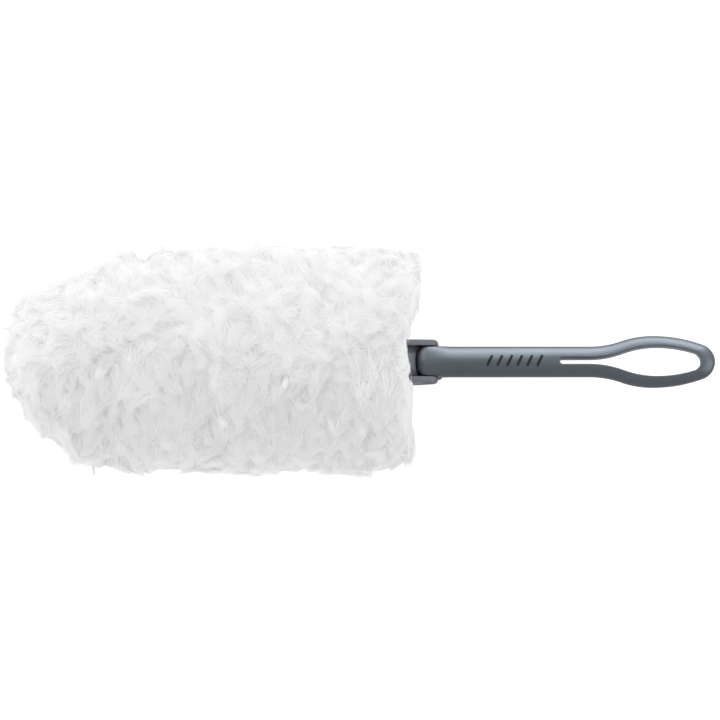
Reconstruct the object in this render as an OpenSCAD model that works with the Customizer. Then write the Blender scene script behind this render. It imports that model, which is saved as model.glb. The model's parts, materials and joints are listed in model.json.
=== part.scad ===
// Folding fluffy duster: a moulded handle with a hanging loop, hinged on a two-pronged fork,
// and a pull-off refill of fibre tow welded to two sleeve sheets.
// Millimetres. +X runs to the hanging loop, Y along the hinge pin, +Z up from the table.

/* [Hinge] */
// Radius of the handle's round nose about the pin
nose_r = 6.2; // [5:0.1:8]
// Side gap between the nose and each ear
cheek_gap = 0.3; // [0.2:0.05:0.6]
// Gap between the nose and its hollow seat
seat_gap = 0.35; // [0.3:0.05:0.8]
// Thickness of each ear
ear_t = 2.8; // [2:0.1:4]
// Radius of an ear's round end
ear_r = 5; // [4:0.1:5.6]
// Rounding of an ear's outer corner, seen from above
ear_corner = 2.2; // [1:0.1:2.4]
// Thickness of the wall behind the nose
wall_t = 4.45; // [3:0.05:6]
// Diameter of the hinge pin
pin_d = 4; // [3:0.1:5]
// Radial play of the handle on the pin
pin_play = 0.05; // [0.02:0.01:0.1]
// Diameter of the pin's low heads
pin_head_d = 6.4; // [5.6:0.1:8]
// Height of the pin's low heads
pin_head_h = 0.4; // [0.3:0.1:1]
// Diameter of the nose's flat cheek boss
boss_d = 6.8; // [6:0.1:9]
// Height of the seat's front lip above the pin
seat_lip = 1.6; // [0.5:0.1:4]
// Thickness of the stop under the handle
stop_t = 1.8; // [1.2:0.1:3]
// Reach of the stop past the pin
stop_reach = 8; // [6:0.5:12]

/* [Handle] */
// Length from the pin to the end of the loop
handle_len = 143.25; // [135:0.25:160]
// Width of the grip
grip_w = 15.2; // [13:0.2:18]
// Thickness of the loop at its end
loop_h = 8.4; // [6.6:0.2:11]
// Width of the rounding along the top edge
top_round = 6.8; // [3:0.1:6.8]
// Width of the rounding along the bottom edge
under_round = 3; // [1.5:0.1:4]
// Pin to the start of the loop's flare
flare_x = 80.5; // [76:0.5:86]
// Pin to the widest place of the loop
loop_x = 112; // [106:0.5:116]
// Width of the loop at its widest
loop_w = 26; // [24:0.5:32]
// Radius of the loop's end
loop_tip_r = 9; // [8:0.25:11]
// Pin to the start of the slot
slot_x = 65.5; // [62:0.5:70]
// Width of the slot
slot_w = 3.1; // [2.4:0.1:4]
// Width of the loop's hole at its widest
hole_w = 15.2; // [12:0.2:16]
// Radius of the hole's end
hole_tip_r = 5; // [4:0.1:6]
// Plastic between the hole and the end of the loop
tip_wall = 7.25; // [6:0.25:9]

/* [Grip grooves and coring] */
// Number of slanted grip grooves
groove_n = 6; // [3:1:8]
// Pin to the first groove
groove_x = 30.5; // [26:0.5:34]
// Spacing of the grooves
groove_pitch = 5; // [3.5:0.25:5]
// Length of a groove
groove_len = 6.4; // [4:0.2:7]
// Width of a groove
groove_w = 1.4; // [1:0.1:2]
// Depth of a groove
groove_depth = 0.7; // [0.4:0.1:1]
// Slant of the grooves from square across the grip
groove_slant = 25; // [0:1:40]
// Number of cored pockets in the underside
core_n = 4; // [2:1:6]
// Pin to the first pocket
core_x = 12.5; // [11:0.5:16]
// Pin to the end of the last pocket
core_end_x = 60; // [54:0.5:61]
// Rib between two pockets
core_rib = 1.6; // [1:0.1:3]
// Plastic left at each side of a pocket
core_wall = 2.2; // [1.8:0.1:3]
// Plastic left above a pocket at the loop's thickness
core_skin = 2.7; // [2:0.1:3.5]

/* [Fork] */
// Pin to the tips of the tines
tine_reach = 165; // [150:1:180]
// Width of a tine
tine_w = 11; // [9:0.25:12]
// Gap between the tines
tine_gap = 7; // [6:0.25:9]
// Thickness of a tine
tine_t = 2.2; // [1.8:0.1:3]
// Pin to the root of the tines
tine_root = 26; // [24:0.5:30]
// Depth of the panels in a tine's faces
panel_depth = 0.5; // [0.2:0.05:0.6]
// Rim round a panel
panel_rim = 1.6; // [1:0.1:2.5]
// Panels along a tine
panel_n = 4; // [2:1:6]
// Height of the barbs that hold the refill
barb_h = 0.5; // [0.2:0.05:0.6]
// Barbs along a tine
barb_n = 3; // [1:1:5]
// Height of the neck where it leaves the wall
neck_h = 10.4; // [8:0.2:11]
// Width of the neck where it leaves the wall
neck_w = 17; // [12:0.5:19]

/* [Refill] */
// Pin to the fluffy tip
head_reach = 210.25; // [200:0.25:230]
// Width across the fibre, without its tufts
head_w = 111.5; // [96:0.5:124]
// How far the fibre hangs over to +Y
head_shift = 1.25; // [0:0.25:3]
// Height of the fibre above the fork's middle
crown_h = 48.5; // [47:0.5:54]
// Fork's middle above the table
axis_h = 46.5; // [40:0.5:46.5]
// Length of the rounded tip
tip_len = 75; // [50:1:100]
// Pin to the hollow in the fibre's end
valley_x = 11.5; // [11.5:0.25:14]
// Half the width of that hollow's floor
valley_y = 15; // [14:0.5:20]
// Pin to the fibre's shoulders
shoulder_x = 4; // [2:0.25:8]
// Middle to the fibre's shoulders
shoulder_y = 37; // [32:0.5:42]
// Rounding of the shoulders
shoulder_round = 9; // [5:0.5:14]
// Height of the tufts
tuft_h = 2.4; // [0.5:0.1:3]
// Spacing of the waves whose crests make the tufts
tuft_pitch = 36; // [28:1:60]
// Gap between fibre layers
layer_gap = 0.4; // [0.3:0.05:0.6]
// Thickness of the inner layer over its weld line
weld_t = 1.6; // [1:0.1:3]
// Thickness of a sleeve sheet
sheet_t = 0.6; // [0.4:0.05:0.9]
// Width of a sleeve sheet
sheet_w = 44; // [40:0.5:46]
// Fluffy tip to the sheet's end
sheet_inset = 12; // [10:0.5:20]
// Room round a tine in its sleeve
sleeve_gap = 0.3; // [0.25:0.05:0.5]

/* [Hidden] */
$fn = 48;
// Overrun of a cut past the face that it opens
over = 1;

// The pin stands where the whole length is centred on the origin.
pin_x = (head_reach - handle_len) / 2;

// Ears, wall and stop of the yoke, from the pin
ear_in = grip_w / 2 + cheek_gap;
ear_out = ear_in + ear_t;
seat_r = nose_r + seat_gap;
yoke_back = seat_r + wall_t;
stop_top = nose_r + cheek_gap;
stop_bottom = stop_top + stop_t;
yoke_top = neck_h / 2;
neck_root = yoke_back - over;
tongue_w = 2 * ear_in;

// Tines and neck
tine_in = tine_gap / 2;
tine_out = tine_in + tine_w;
neck_thin_x = tine_root - 2;

// Handle section: the shares of its height that the sides stand upright, and the steps of a rounding
side_flat = 0.2;
nose_flat = 0.6;
round_steps = 5;
nose_steps = 5;
slot_steps = 3;
flare_steps = 9;
flank_steps = 4;
tip_steps = 8;
hole_end_x = handle_len - tip_wall;
hole_x = loop_x + 2;

// Sleeve channel: the sheet's clear height over a tine, and its feet
channel_z = tine_t / 2 + sleeve_gap;
channel_out = tine_out + barb_h + sleeve_gap;
channel_in = tine_in - sleeve_gap;
channel_slope = 0.7;
sheet_end_x = tine_root + over + sleeve_gap;

// Fibre grid: rings along the refill, outer steps of each layer, and hidden steps
ring_n = 36;
edge_steps = 4;
crown_steps = 18;
hidden_steps = 8;
tip_flat = 1.2;
fibre_edge = 1;
seam_low = 24;
seam_high = 28;
seam_fade = 12;
bowl_power = 1.6;
tuft_ways = [[1, 0.3, 0.2], [-0.5, 0.9, 0.4], [0.3, -0.5, 0.9], [0.7, 0.6, -0.6]];
tuft_peak = 2.4;
sheet_room = channel_z + sheet_t + layer_gap;
neck_room = 0.7;
head_len = head_reach - shoulder_x;

handle_grey = [0.56, 0.59, 0.62];
fork_grey = [0.36, 0.37, 0.40];
pin_grey = [0.25, 0.26, 0.28];
sheet_white = [0.88, 0.89, 0.88];
inner_white = [0.90, 0.91, 0.91];
outer_white = [0.96, 0.96, 0.95];

// Blend from a to b
function mix(a, b, t) = a + (b - a) * t;

// Smooth step from 0 at low to 1 at high
function soft_step(v, low, high) =
    let (t = min(1, max(0, (v - low) / (high - low)))) t * t * (3 - 2 * t);

// Points on an arc about c
function arc(c, r, from, to, steps) =
    [for (i = [0:steps]) let (a = mix(from, to, i / steps)) c + r * [cos(a), sin(a)]];

// Two equal arcs from a to b, level at both ends
function s_curve(a, b, steps) =
    let (
        run = b[0] - a[0],
        rise = b[1] - a[1],
        r = (run * run + rise * rise) / (4 * rise),
        turn = 2 * atan(rise / run)
    )
    [for (i = [0:steps])
        let (t = 2 * turn * i / steps)
        t <= turn
            ? a + r * [sin(t), 1 - cos(t)]
            : b - r * [sin(2 * turn - t), 1 - cos(2 * turn - t)]];

// A flank that starts level at the widest point and runs into the tip's arc, which ends on the axis
function flank_and_tip(wide, end_x, tip_r) =
    let (
        run = end_x - tip_r - wide[0],
        flank_r = (run * run + wide[1] * wide[1] - tip_r * tip_r) / (2 * (wide[1] - tip_r)),
        join = atan2(flank_r - wide[1], run)
    )
    concat(
        arc([wide[0], wide[1] - flank_r], flank_r, 90, join, flank_steps),
        rest(arc([end_x - tip_r, 0], tip_r, join, 0, tip_steps))
    );

// List without its first point
function rest(list) = [for (i = [1:len(list) - 1]) list[i]];

// Half-thickness of the handle at x
function half_h(x) =
    x < 0 ? sqrt(nose_r * nose_r - x * x) : mix(nose_r, loop_h / 2, x / handle_len);

// Plan half-width of the nose at x, behind the pin, where it is as round as from the side
function nose_half_w(x) = grip_w / 2 - nose_r + half_h(x);

// Half-height of the sides' upright part at x: tall beside the ears, low along the grip
function upright_h(x) = half_h(x) * mix(nose_flat, side_flat, soft_step(x, 0, 2 * nose_r));

// Stations of the handle from the nose to the loop's end, first where the plan's outer edge is
nose_x = [for (i = [0:nose_steps - 1]) -nose_r * cos(mix(10, 90, i / nose_steps))];
slot_arc = arc([slot_x + slot_w / 2, 0], slot_w / 2, 180, 90, slot_steps);
outer_line = concat(
    [for (x = nose_x) [x, nose_half_w(x)]],
    [for (x = [0, slot_x / 2]) [x, grip_w / 2]],
    [for (p = slot_arc) [p[0], grip_w / 2]],
    s_curve([flare_x, grip_w / 2], [loop_x, loop_w / 2], flare_steps),
    rest(flank_and_tip([loop_x, loop_w / 2], handle_len, loop_tip_r))
);

// Where the plan's inner edge is: the middle line, then the slot and the loop's hole
inner_line = concat(
    [for (x = nose_x) [x, 0]],
    [for (x = [0, slot_x / 2]) [x, 0]],
    slot_arc,
    s_curve([flare_x, slot_w / 2], [hole_x, hole_w / 2], flare_steps),
    rest(flank_and_tip([hole_x, hole_w / 2], hole_end_x, hole_tip_r))
);
station_n = len(outer_line);
slot_station = nose_steps + 2;

// Half section of the handle at a station, from the inner edge's top, over the outer side, to its bottom
function half_section(p, q) =
    let (
        span = norm(p - q),
        inward = (q - p) / span,
        flat_z = upright_h(p[0]),
        top = min(top_round, 0.9 * span),
        under = min(under_round, 0.9 * span)
    )
    concat(
        [[q[0], q[1], half_h(q[0])]],
        [for (i = [0:round_steps])
            let (a = 90 - 90 * i / round_steps, c = p + inward * top * (1 - cos(a)))
            [c[0], c[1], mix(flat_z, half_h(c[0]), sin(a))]],
        [for (i = [0:round_steps])
            let (a = 90 * i / round_steps, c = p + inward * under * (1 - cos(a)))
            [c[0], c[1], -mix(flat_z, half_h(c[0]), sin(a))]],
        [[q[0], q[1], -half_h(q[0])]]
    );

section_n = 2 * round_steps + 4;

// Index of a section's point, where the two halves share the points that lie on the middle line
function shared(i, j) = i == station_n - 1 || (i <= slot_station && (j == 0 || j == section_n - 1));
function at(i, side, j) = (2 * i + (side == 0 || shared(i, j) ? 0 : 1)) * section_n + j;

// Two triangles of a quad, wound the other way on the mirrored half
function quad(a, b, c, d, flip) =
    flip ? [[a, c, b], [a, d, c]] : [[a, b, c], [a, c, d]];

// The handle's outside, with its slot and hole, as one closed loft
module handle_loft() {
    halves = [for (i = [0:station_n - 1]) half_section(outer_line[i], inner_line[i])];
    points = [for (s = halves) each concat(s, [for (p = s) [p[0], -p[1], p[2]]])];
    skin = [
        for (i = [0:station_n - 2], j = [0:section_n - 2], side = [0, 1])
        each quad(at(i, side, j), at(i + 1, side, j), at(i + 1, side, j + 1), at(i, side, j + 1), side == 0)
    ];
    hole = [
        for (i = [slot_station:station_n - 2], side = [0, 1])
        let (last = section_n - 1)
        each quad(at(i, side, last), at(i + 1, side, last), at(i + 1, side, 0), at(i, side, 0), side == 0)
    ];
    nose = [
        for (j = [1:section_n - 2])
        each [[at(0, 0, 0), at(0, 0, j + 1), at(0, 0, j)], [at(0, 1, 0), at(0, 1, j), at(0, 1, j + 1)]]
    ];
    solid_faces = [
        for (f = concat(skin, hole, nose))
        if (f[0] != f[1] && f[1] != f[2] && f[0] != f[2]) f
    ];
    polyhedron(points, solid_faces);
}

// Stadium outline along Y
function stadium(length, width) =
    let (half = (length - width) / 2)
    concat(arc([0, half], width / 2, 0, 180, 6), arc([0, -half], width / 2, 180, 360, 6));

// Rectangle with its corners cut, from its low corner
function cut_corner_box(size, cut) = [
    [cut, 0], [size[0] - cut, 0], [size[0], cut], [size[0], size[1] - cut],
    [size[0] - cut, size[1]], [cut, size[1]], [0, size[1] - cut], [0, cut]
];

module grip_grooves() {
    for (i = [0:groove_n - 1]) {
        x = groove_x + groove_pitch * i;
        translate([x, 0, half_h(x) - groove_depth])
            rotate(-groove_slant)
                linear_extrude(groove_depth + over)
                    polygon(stadium(groove_len, groove_w));
    }
}

module underside_cores() {
    pitch = (core_end_x - core_x + core_rib) / core_n;
    core_w = grip_w - 2 * core_wall;
    for (i = [0:core_n - 1])
        translate([core_x + pitch * i, -core_w / 2, -nose_r - over])
            linear_extrude(nose_r + over + loop_h / 2 - core_skin)
                polygon(cut_corner_box([pitch - core_rib, core_w], 1));
}

// Cylinder along the hinge
module cross_rod(r, length) {
    rotate([90, 0, 0])
        cylinder(r = r, h = length, center = true);
}

// Puts a piece drawn about the pin at its place above the table
module at_pin() {
    translate([pin_x, 0, axis_h])
        children();
}

module handle() {
    color(handle_grey)
        at_pin()
            difference() {
                union() {
                    handle_loft();
                    cross_rod(boss_d / 2, grip_w);
                }
                cross_rod(pin_d / 2 + pin_play, grip_w + 2 * over);
                grip_grooves();
                underside_cores();
            }
}

// Side outline of the yoke: back wall, round ears, and the root of the stop
function yoke_side() = concat(
    [[-yoke_back, -stop_bottom], [-ear_r, -stop_bottom]],
    arc([0, 0], ear_r, -60, 70, 10),
    [[-seat_r, yoke_top], [-yoke_back, yoke_top]]
);

// Plan of the yoke: square at the back, with the ears' outer corners rounded
function yoke_plan() =
    let (mid = [ear_r, ear_out] - ear_corner * [1, 1])
    concat(
        [[-yoke_back, -ear_out]],
        arc([mid[0], -mid[1]], ear_corner, -90, 0, 6),
        arc(mid, ear_corner, 0, 90, 6),
        [[-yoke_back, ear_out]]
    );

// Room for the nose: its round seat, the slope above it, the fold, and the grip in front
module nose_room() {
    width = 2 * ear_in;
    far = 2 * handle_len;
    cross_rod(seat_r, width);
    rotate([90, 0, 0])
        linear_extrude(width, center = true)
            polygon([[-neck_root, yoke_top], [-seat_r, seat_lip], [-seat_r, far], [-neck_root, far]]);
    translate([-seat_r, -ear_in, 0])
        cube([far, width, far]);
    translate([0, -ear_in, -stop_top])
        cube([far, width, far]);
}

module yoke() {
    difference() {
        intersection() {
            rotate([90, 0, 0])
                linear_extrude(2 * ear_out, center = true)
                    polygon(yoke_side());
            linear_extrude(2 * stop_bottom, center = true)
                polygon(yoke_plan());
        }
        nose_room();
    }
    translate([-neck_root, -tongue_w / 2, -stop_bottom])
        linear_extrude(stop_t)
            polygon(cut_corner_box([neck_root + stop_reach, tongue_w], 2));
}

// Wedge that joins the yoke to the flat tines
module neck() {
    end = tine_root + over;
    intersection() {
        translate([0, 0, -neck_h])
            linear_extrude(2 * neck_h)
                polygon([
                    [-neck_root, -neck_w / 2], [-neck_root, neck_w / 2], [-tine_root, tine_out],
                    [-end, tine_out], [-end, -tine_out], [-tine_root, -tine_out]
                ]);
        rotate([90, 0, 0])
            linear_extrude(4 * tine_out, center = true)
                polygon([
                    [-neck_root, -neck_h / 2], [-neck_root, neck_h / 2], [-neck_thin_x, tine_t / 2],
                    [-end, tine_t / 2], [-end, -tine_t / 2], [-neck_thin_x, -tine_t / 2]
                ]);
    }
}

// Plan of one tine: a round tip, and barbs on the outer edge that slope up from the tip
function tine_plan() =
    let (
        tip_r = tine_w / 2,
        barb_len = 8 * barb_h,
        first = tine_reach - 2 * tine_w,
        pitch = (first - tine_root - tine_w) / barb_n
    )
    concat(
        [[-tine_root, tine_in]],
        arc([tip_r - tine_reach, tine_in + tip_r], tip_r, 270, 90, 12),
        [for (i = [0:barb_n - 1])
            let (x = -first + pitch * i)
            each [[x, tine_out], [x + barb_len, tine_out + barb_h], [x + barb_len + barb_h, tine_out]]],
        [[-tine_root, tine_out]]
    );

// Shallow panels sunk in both faces of one tine
module tine_panels() {
    start = -tine_reach + tine_w / 2;
    pitch = (tine_reach - tine_w / 2 - tine_root) / panel_n;
    size = [pitch - panel_rim, tine_w - 2 * panel_rim];
    for (i = [0:panel_n - 1], face = [0, 1])
        mirror([0, 0, face])
            translate([start + pitch * i, tine_in + panel_rim, tine_t / 2 - panel_depth])
                linear_extrude(panel_depth + over)
                    polygon(cut_corner_box(size, 1));
}

module tine() {
    difference() {
        translate([0, 0, -tine_t / 2])
            linear_extrude(tine_t)
                polygon(tine_plan());
        tine_panels();
    }
}

module fork() {
    color(fork_grey)
        at_pin()
            difference() {
                union() {
                    yoke();
                    neck();
                    tine();
                    mirror([0, 1, 0])
                        tine();
                }
                cross_rod(pin_d / 2, 2 * ear_out + 2 * over);
            }
}

// Straight pin with a low domed head outside each ear
module hinge_pin() {
    r = pin_d / 2;
    head_r = pin_head_d / 2;
    dome_r = (head_r * head_r + pin_head_h * pin_head_h) / (2 * pin_head_h);
    dome_a = asin(head_r / dome_r);
    dome = arc([0, ear_out + pin_head_h - dome_r], dome_r, 90 - dome_a, 90, 4);
    color(pin_grey)
        at_pin()
            rotate([90, 0, 0])
                rotate_extrude()
                    polygon(concat(
                        [[0, -ear_out - pin_head_h]],
                        [for (i = [len(dome) - 2:-1:0]) [dome[i][0], -dome[i][1]]],
                        [[r, -ear_out], [r, ear_out]],
                        [for (i = [0:len(dome) - 2]) dome[i]],
                        [[0, ear_out + pin_head_h]]
                    ));
}

// Half section of a sleeve sheet: a land in the middle, a channel over the tine, and an outer land
function sheet_half(lift, spread) = [
    [0, lift],
    [channel_in - channel_slope - spread, lift],
    [channel_in - spread, channel_z + lift],
    [channel_out + spread, channel_z + lift],
    [channel_out + channel_slope + spread, lift],
    [sheet_w / 2, lift]
];

// One sheet of the pair, whose lands are welded to the other's
module sleeve_sheet() {
    under = sheet_half(0, 0);
    upper = sheet_half(sheet_t, sheet_t / 2);
    last = len(under) - 1;
    translate([-head_reach + sheet_inset, 0, 0])
        rotate([90, 0, 90])
            linear_extrude(head_reach - sheet_inset - sheet_end_x)
                polygon(concat(
                    [for (i = [last:-1:1]) [-under[i][0], under[i][1]]],
                    under,
                    [for (i = [last:-1:0]) upper[i]],
                    [for (i = [1:last]) [-upper[i][0], upper[i][1]]]
                ));
}

module sleeve_sheet_upper() {
    color(sheet_white)
        at_pin()
            sleeve_sheet();
}

module sleeve_sheet_lower() {
    color(sheet_white)
        at_pin()
            mirror([0, 0, 1])
                sleeve_sheet();
}

// Share of the full width and height at distance s from the fluffy tip
function tip_share(s, reach) = s >= reach ? 1 : sqrt(1 - pow(1 - s / reach, 2));

// What the rounded shoulders take off at s
function shoulder_loss(s) =
    let (t = max(0, (s - head_len + shoulder_round) / shoulder_round))
    shoulder_round * (1 - sqrt(1 - min(1, 0.9 * t * t)));

// Rings crowd towards both ends
function ring_u(i) =
    let (t = i / ring_n, first = tip_flat / head_len)
    mix(first, 1, 0.6 * t + 0.2 * (1 - cos(180 * t)));
function ring_half_w(u) =
    head_w / 2 * tip_share(u * head_len, tip_len) - shoulder_loss(u * head_len);
function ring_half_h(u) =
    crown_h * tip_share(u * head_len, 0.8 * tip_len) - shoulder_loss(u * head_len);

// How far the fibre's end lies behind the pin: hollow in the middle, full at the shoulders
function fibre_end(y) = -mix(valley_x, shoulder_x, soft_step(abs(y), valley_y, shoulder_y));
function fibre_x(u, y) = mix(-head_reach, fibre_end(y), u);

// Room that the sheets and the neck take under the inner layer
function sheet_rise(u) = soft_step(u * head_len, 0, sheet_inset - 2);
function neck_rise(x) =
    mix(neck_h / 2, tine_t / 2, min(1, (-x - neck_root) / (neck_thin_x - neck_root))) + neck_room;
function floor_z(u, y) =
    let (
        x = fibre_x(u, y),
        low = layer_gap / 2,
        sheet = mix(low, sheet_room, sheet_rise(u) * (1 - soft_step(abs(y), sheet_w / 2 + 7, sheet_w / 2 + 14))),
        neck = x > -tine_root - 8 ? neck_rise(x) * (1 - soft_step(abs(y), tine_out + 6, tine_out + 14)) : 0
    )
    max(sheet, neck);

// Tufts: soft lumps where waves that run different ways meet, faded out at the seam between layers
function tuft(u, a) =
    let (
        from_seam = abs(min(a, 180 - a) - (seam_low + seam_high) / 2) - (seam_high - seam_low) / 2,
        place = [u * head_len, ring_half_w(u) * cos(a), ring_half_h(u) * sin(a)],
        waves = [for (way = tuft_ways) sin(360 * (way * place) / tuft_pitch)]
    )
    tuft_h * (waves * [for (w = waves) 1]) / tuft_peak
    * soft_step(from_seam, 0, seam_fade) * tip_share(u * head_len, tip_len);

// A point on the fibre's outside at angle a round the refill, cut flat where it lies on the table
function outside(u, a, flat_z) =
    let (
        lump = tuft(u, a),
        y = (ring_half_w(u) + lump) * cos(a),
        z = fibre_edge + (ring_half_h(u) - fibre_edge + lump) * sin(a)
    )
    [fibre_x(u, y), y, min(z, flat_z)];

// The bowl between the inner and the outer layer
function bowl_z(u, y) =
    let (
        rim = [ring_half_w(u) * cos(seam_low), fibre_edge + (ring_half_h(u) - fibre_edge) * sin(seam_low)],
        middle = floor_z(u, 0) + weld_t
    )
    mix(middle, rim[1], pow(min(1, abs(y) / rim[0]), bowl_power));

// Rings of a layer: its upper line from +Y to -Y, and its lower line the same way
function inner_upper(u) =
    let (rim = ring_half_w(u) * cos(seam_low))
    concat(
        [for (i = [0:edge_steps]) outside(u, seam_low * i / edge_steps, axis_h)],
        [for (i = [1:hidden_steps - 1])
            let (y = mix(rim, -rim, i / hidden_steps)) [fibre_x(u, y), y, bowl_z(u, y)]],
        [for (i = [edge_steps:-1:0]) outside(u, 180 - seam_low * i / edge_steps, axis_h)]
    );
function inner_lower(u) =
    let (edge = outside(u, 0, axis_h)[1])
    [for (i = [0:hidden_steps])
        let (y = mix(edge, -edge, i / hidden_steps)) [fibre_x(u, y), y, floor_z(u, y)]];
function outer_upper(u, flat_z) =
    [for (i = [0:crown_steps]) outside(u, mix(seam_high, 180 - seam_high, i / crown_steps), flat_z)];
function outer_lower(u) =
    let (edge = ring_half_w(u) * cos(seam_high))
    [for (i = [0:hidden_steps])
        let (y = mix(edge, -edge, i / hidden_steps)) [fibre_x(u, y), y, bowl_z(u, y) + layer_gap]];

// Triangles of a strip between two lines of points, given their first indices and their counts.
// The halves of the strip mirror each other.
function zip_faces(a, a_n, b, b_n, flip) = [
    for (i = [0:a_n - 2])
    let (
        near = floor(i * (b_n - 1) / (a_n - 1)),
        next = floor((i + 1) * (b_n - 1) / (a_n - 1)),
        first_half = 2 * i < a_n - 1,
        faces = concat(
            [[a + i, a + i + 1, b + (first_half ? near : next)]],
            next > near ? [[a + i + (first_half ? 1 : 0), b + next, b + near]] : []
        )
    )
    each flip ? [for (f = faces) [f[0], f[2], f[1]]] : faces
];

// Moves the fibre's sides over to +Y, clear of the sheets
function hung_over(p) = p + [0, head_shift * soft_step(abs(p[1]), sheet_w / 2, head_w / 2 - head_shift), 0];

// A closed fibre layer through its rings
module fibre_layer(upper, lower) {
    up_n = len(upper[0]);
    low_n = len(lower[0]);
    ring_size = up_n + low_n;
    loops = [for (i = [0:ring_n]) concat(upper[i], [for (j = [low_n - 1:-1:0]) lower[i][j]])];
    points = [for (l = loops, p = l) hung_over(p)];
    skin = [
        for (i = [0:ring_n - 1], j = [0:ring_size - 1])
        let (a = i * ring_size, b = a + ring_size, k = (j + 1) % ring_size)
        each [[a + j, b + j, b + k], [a + j, b + k, a + k]]
    ];
    // The end lines run the same way only when the lower one is read back to front.
    ends = [
        for (end = [0, 1])
        let (start = end * ring_n * ring_size)
        each [for (f = zip_faces(0, up_n, up_n, low_n, end == 1))
            [for (v = f) start + (v < up_n ? v : ring_size - 1 - (v - up_n))]]
    ];
    polyhedron(points, concat(skin, ends));
}

module inner_layer() {
    fibre_layer(
        [for (i = [0:ring_n]) inner_upper(ring_u(i))],
        [for (i = [0:ring_n]) inner_lower(ring_u(i))]
    );
}

module outer_layer(flat_z) {
    fibre_layer(
        [for (i = [0:ring_n]) outer_upper(ring_u(i), flat_z)],
        [for (i = [0:ring_n]) outer_lower(ring_u(i))]
    );
}

module tow_upper_inner() {
    color(inner_white)
        at_pin()
            inner_layer();
}

module tow_upper_outer() {
    color(outer_white)
        at_pin()
            outer_layer(2 * crown_h);
}

module tow_lower_inner() {
    color(inner_white)
        at_pin()
            mirror([0, 0, 1])
                inner_layer();
}

module tow_lower_outer() {
    color(outer_white)
        at_pin()
            mirror([0, 0, 1])
                outer_layer(axis_h);
}

handle();
fork();
hinge_pin();
sleeve_sheet_upper();
sleeve_sheet_lower();
tow_upper_inner();
tow_upper_outer();
tow_lower_inner();
tow_lower_outer();
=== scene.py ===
"""A folding fluffy duster on a pale table: the looks of every piece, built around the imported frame."""

import json
import logging
import math
from collections.abc import Iterator, Sequence
from contextlib import contextmanager
from dataclasses import dataclass
from enum import Enum

import bpy
import numpy as np
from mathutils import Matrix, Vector


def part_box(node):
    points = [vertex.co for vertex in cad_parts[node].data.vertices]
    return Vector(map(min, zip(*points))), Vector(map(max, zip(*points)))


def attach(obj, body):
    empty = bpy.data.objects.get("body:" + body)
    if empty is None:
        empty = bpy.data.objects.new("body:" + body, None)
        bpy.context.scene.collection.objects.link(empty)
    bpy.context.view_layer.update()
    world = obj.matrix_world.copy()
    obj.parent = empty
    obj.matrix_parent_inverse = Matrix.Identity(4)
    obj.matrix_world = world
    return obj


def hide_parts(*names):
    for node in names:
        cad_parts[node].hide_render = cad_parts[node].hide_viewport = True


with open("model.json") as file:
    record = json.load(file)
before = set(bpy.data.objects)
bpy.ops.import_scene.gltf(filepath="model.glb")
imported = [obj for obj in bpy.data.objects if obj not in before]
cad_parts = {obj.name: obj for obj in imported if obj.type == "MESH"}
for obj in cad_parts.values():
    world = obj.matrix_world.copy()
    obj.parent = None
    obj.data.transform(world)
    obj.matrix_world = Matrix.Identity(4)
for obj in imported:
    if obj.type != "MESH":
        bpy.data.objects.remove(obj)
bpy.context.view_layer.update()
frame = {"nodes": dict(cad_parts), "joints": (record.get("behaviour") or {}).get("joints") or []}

MM = 0.001
# Corners of a solid's loose triangles closer than this are one corner, in millimetres
WELD = 0.002
# The hinge pin's middle, about which every size below is measured, in millimetres
PIN = np.array(next(j["pos_m"] for j in frame["joints"] if j["name"] == "handle_fold")) / MM
MIDDLE = Vector((0, 0, PIN[2] * MM))

log = logging.getLogger("duster")
Array = np.ndarray
Pair = tuple[float, float]
Triple = tuple[float, float, float]
Colour = Triple
Material = bpy.types.Material
Piece = bpy.types.Object
Socket = bpy.types.NodeSocket


class Body(Enum):
    """The bodies that pieces ride on."""

    FORK = "fork"
    HANDLE = "handle"
    REFILL = "refill"


class Slot(Enum):
    """The record's material slots."""

    HANDLE = "handle_plastic"
    FORK = "fork_plastic"
    PIN = "pin_plastic"
    NONWOVEN = "nonwoven"
    FIBRE = "fibre"


class Tow(Enum):
    """The four layers of fibre tow, by the name of the solid that each stands for."""

    UPPER_INNER = "tow_upper_inner"
    UPPER_OUTER = "tow_upper_outer"
    LOWER_INNER = "tow_lower_inner"
    LOWER_OUTER = "tow_lower_outer"


class Element(Enum):
    """What a mesh is made of, by the name of its list, in the order of Blender's select modes."""

    VERTEX = "vertices"
    EDGE = "edges"
    FACE = "polygons"


class Carve(Enum):
    """What a tool does to a piece."""

    ADD = "UNION"
    CUT = "DIFFERENCE"
    KEEP = "INTERSECT"


# Modelling helpers


def pick(piece: Piece) -> None:
    """Makes one piece the only selected one, and the active one.

    Args:
        piece: the piece.
    """
    bpy.ops.object.select_all(action="DESELECT")
    piece.select_set(True)
    bpy.context.view_layer.objects.active = piece


@contextmanager
def editing(piece: Piece) -> Iterator[None]:
    """Keeps a piece in edit mode for as long as the block below it lasts.

    Args:
        piece: the piece, which is the only selected one.
    """
    pick(piece)
    bpy.ops.object.mode_set(mode="EDIT")
    yield
    bpy.ops.object.mode_set(mode="OBJECT")


def newest(name: str) -> Piece:
    """Names the object that an operator has just added.

    Args:
        name: the name for the object and its data.

    Returns:
        The object.
    """
    piece = bpy.context.view_layer.objects.active
    piece.name = name
    piece.data.name = name
    return piece


def settle(piece: Piece) -> None:
    """Moves a piece's place, turn and scale into its mesh."""
    pick(piece)
    bpy.ops.object.transform_apply(location=True, rotation=True, scale=True)


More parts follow.
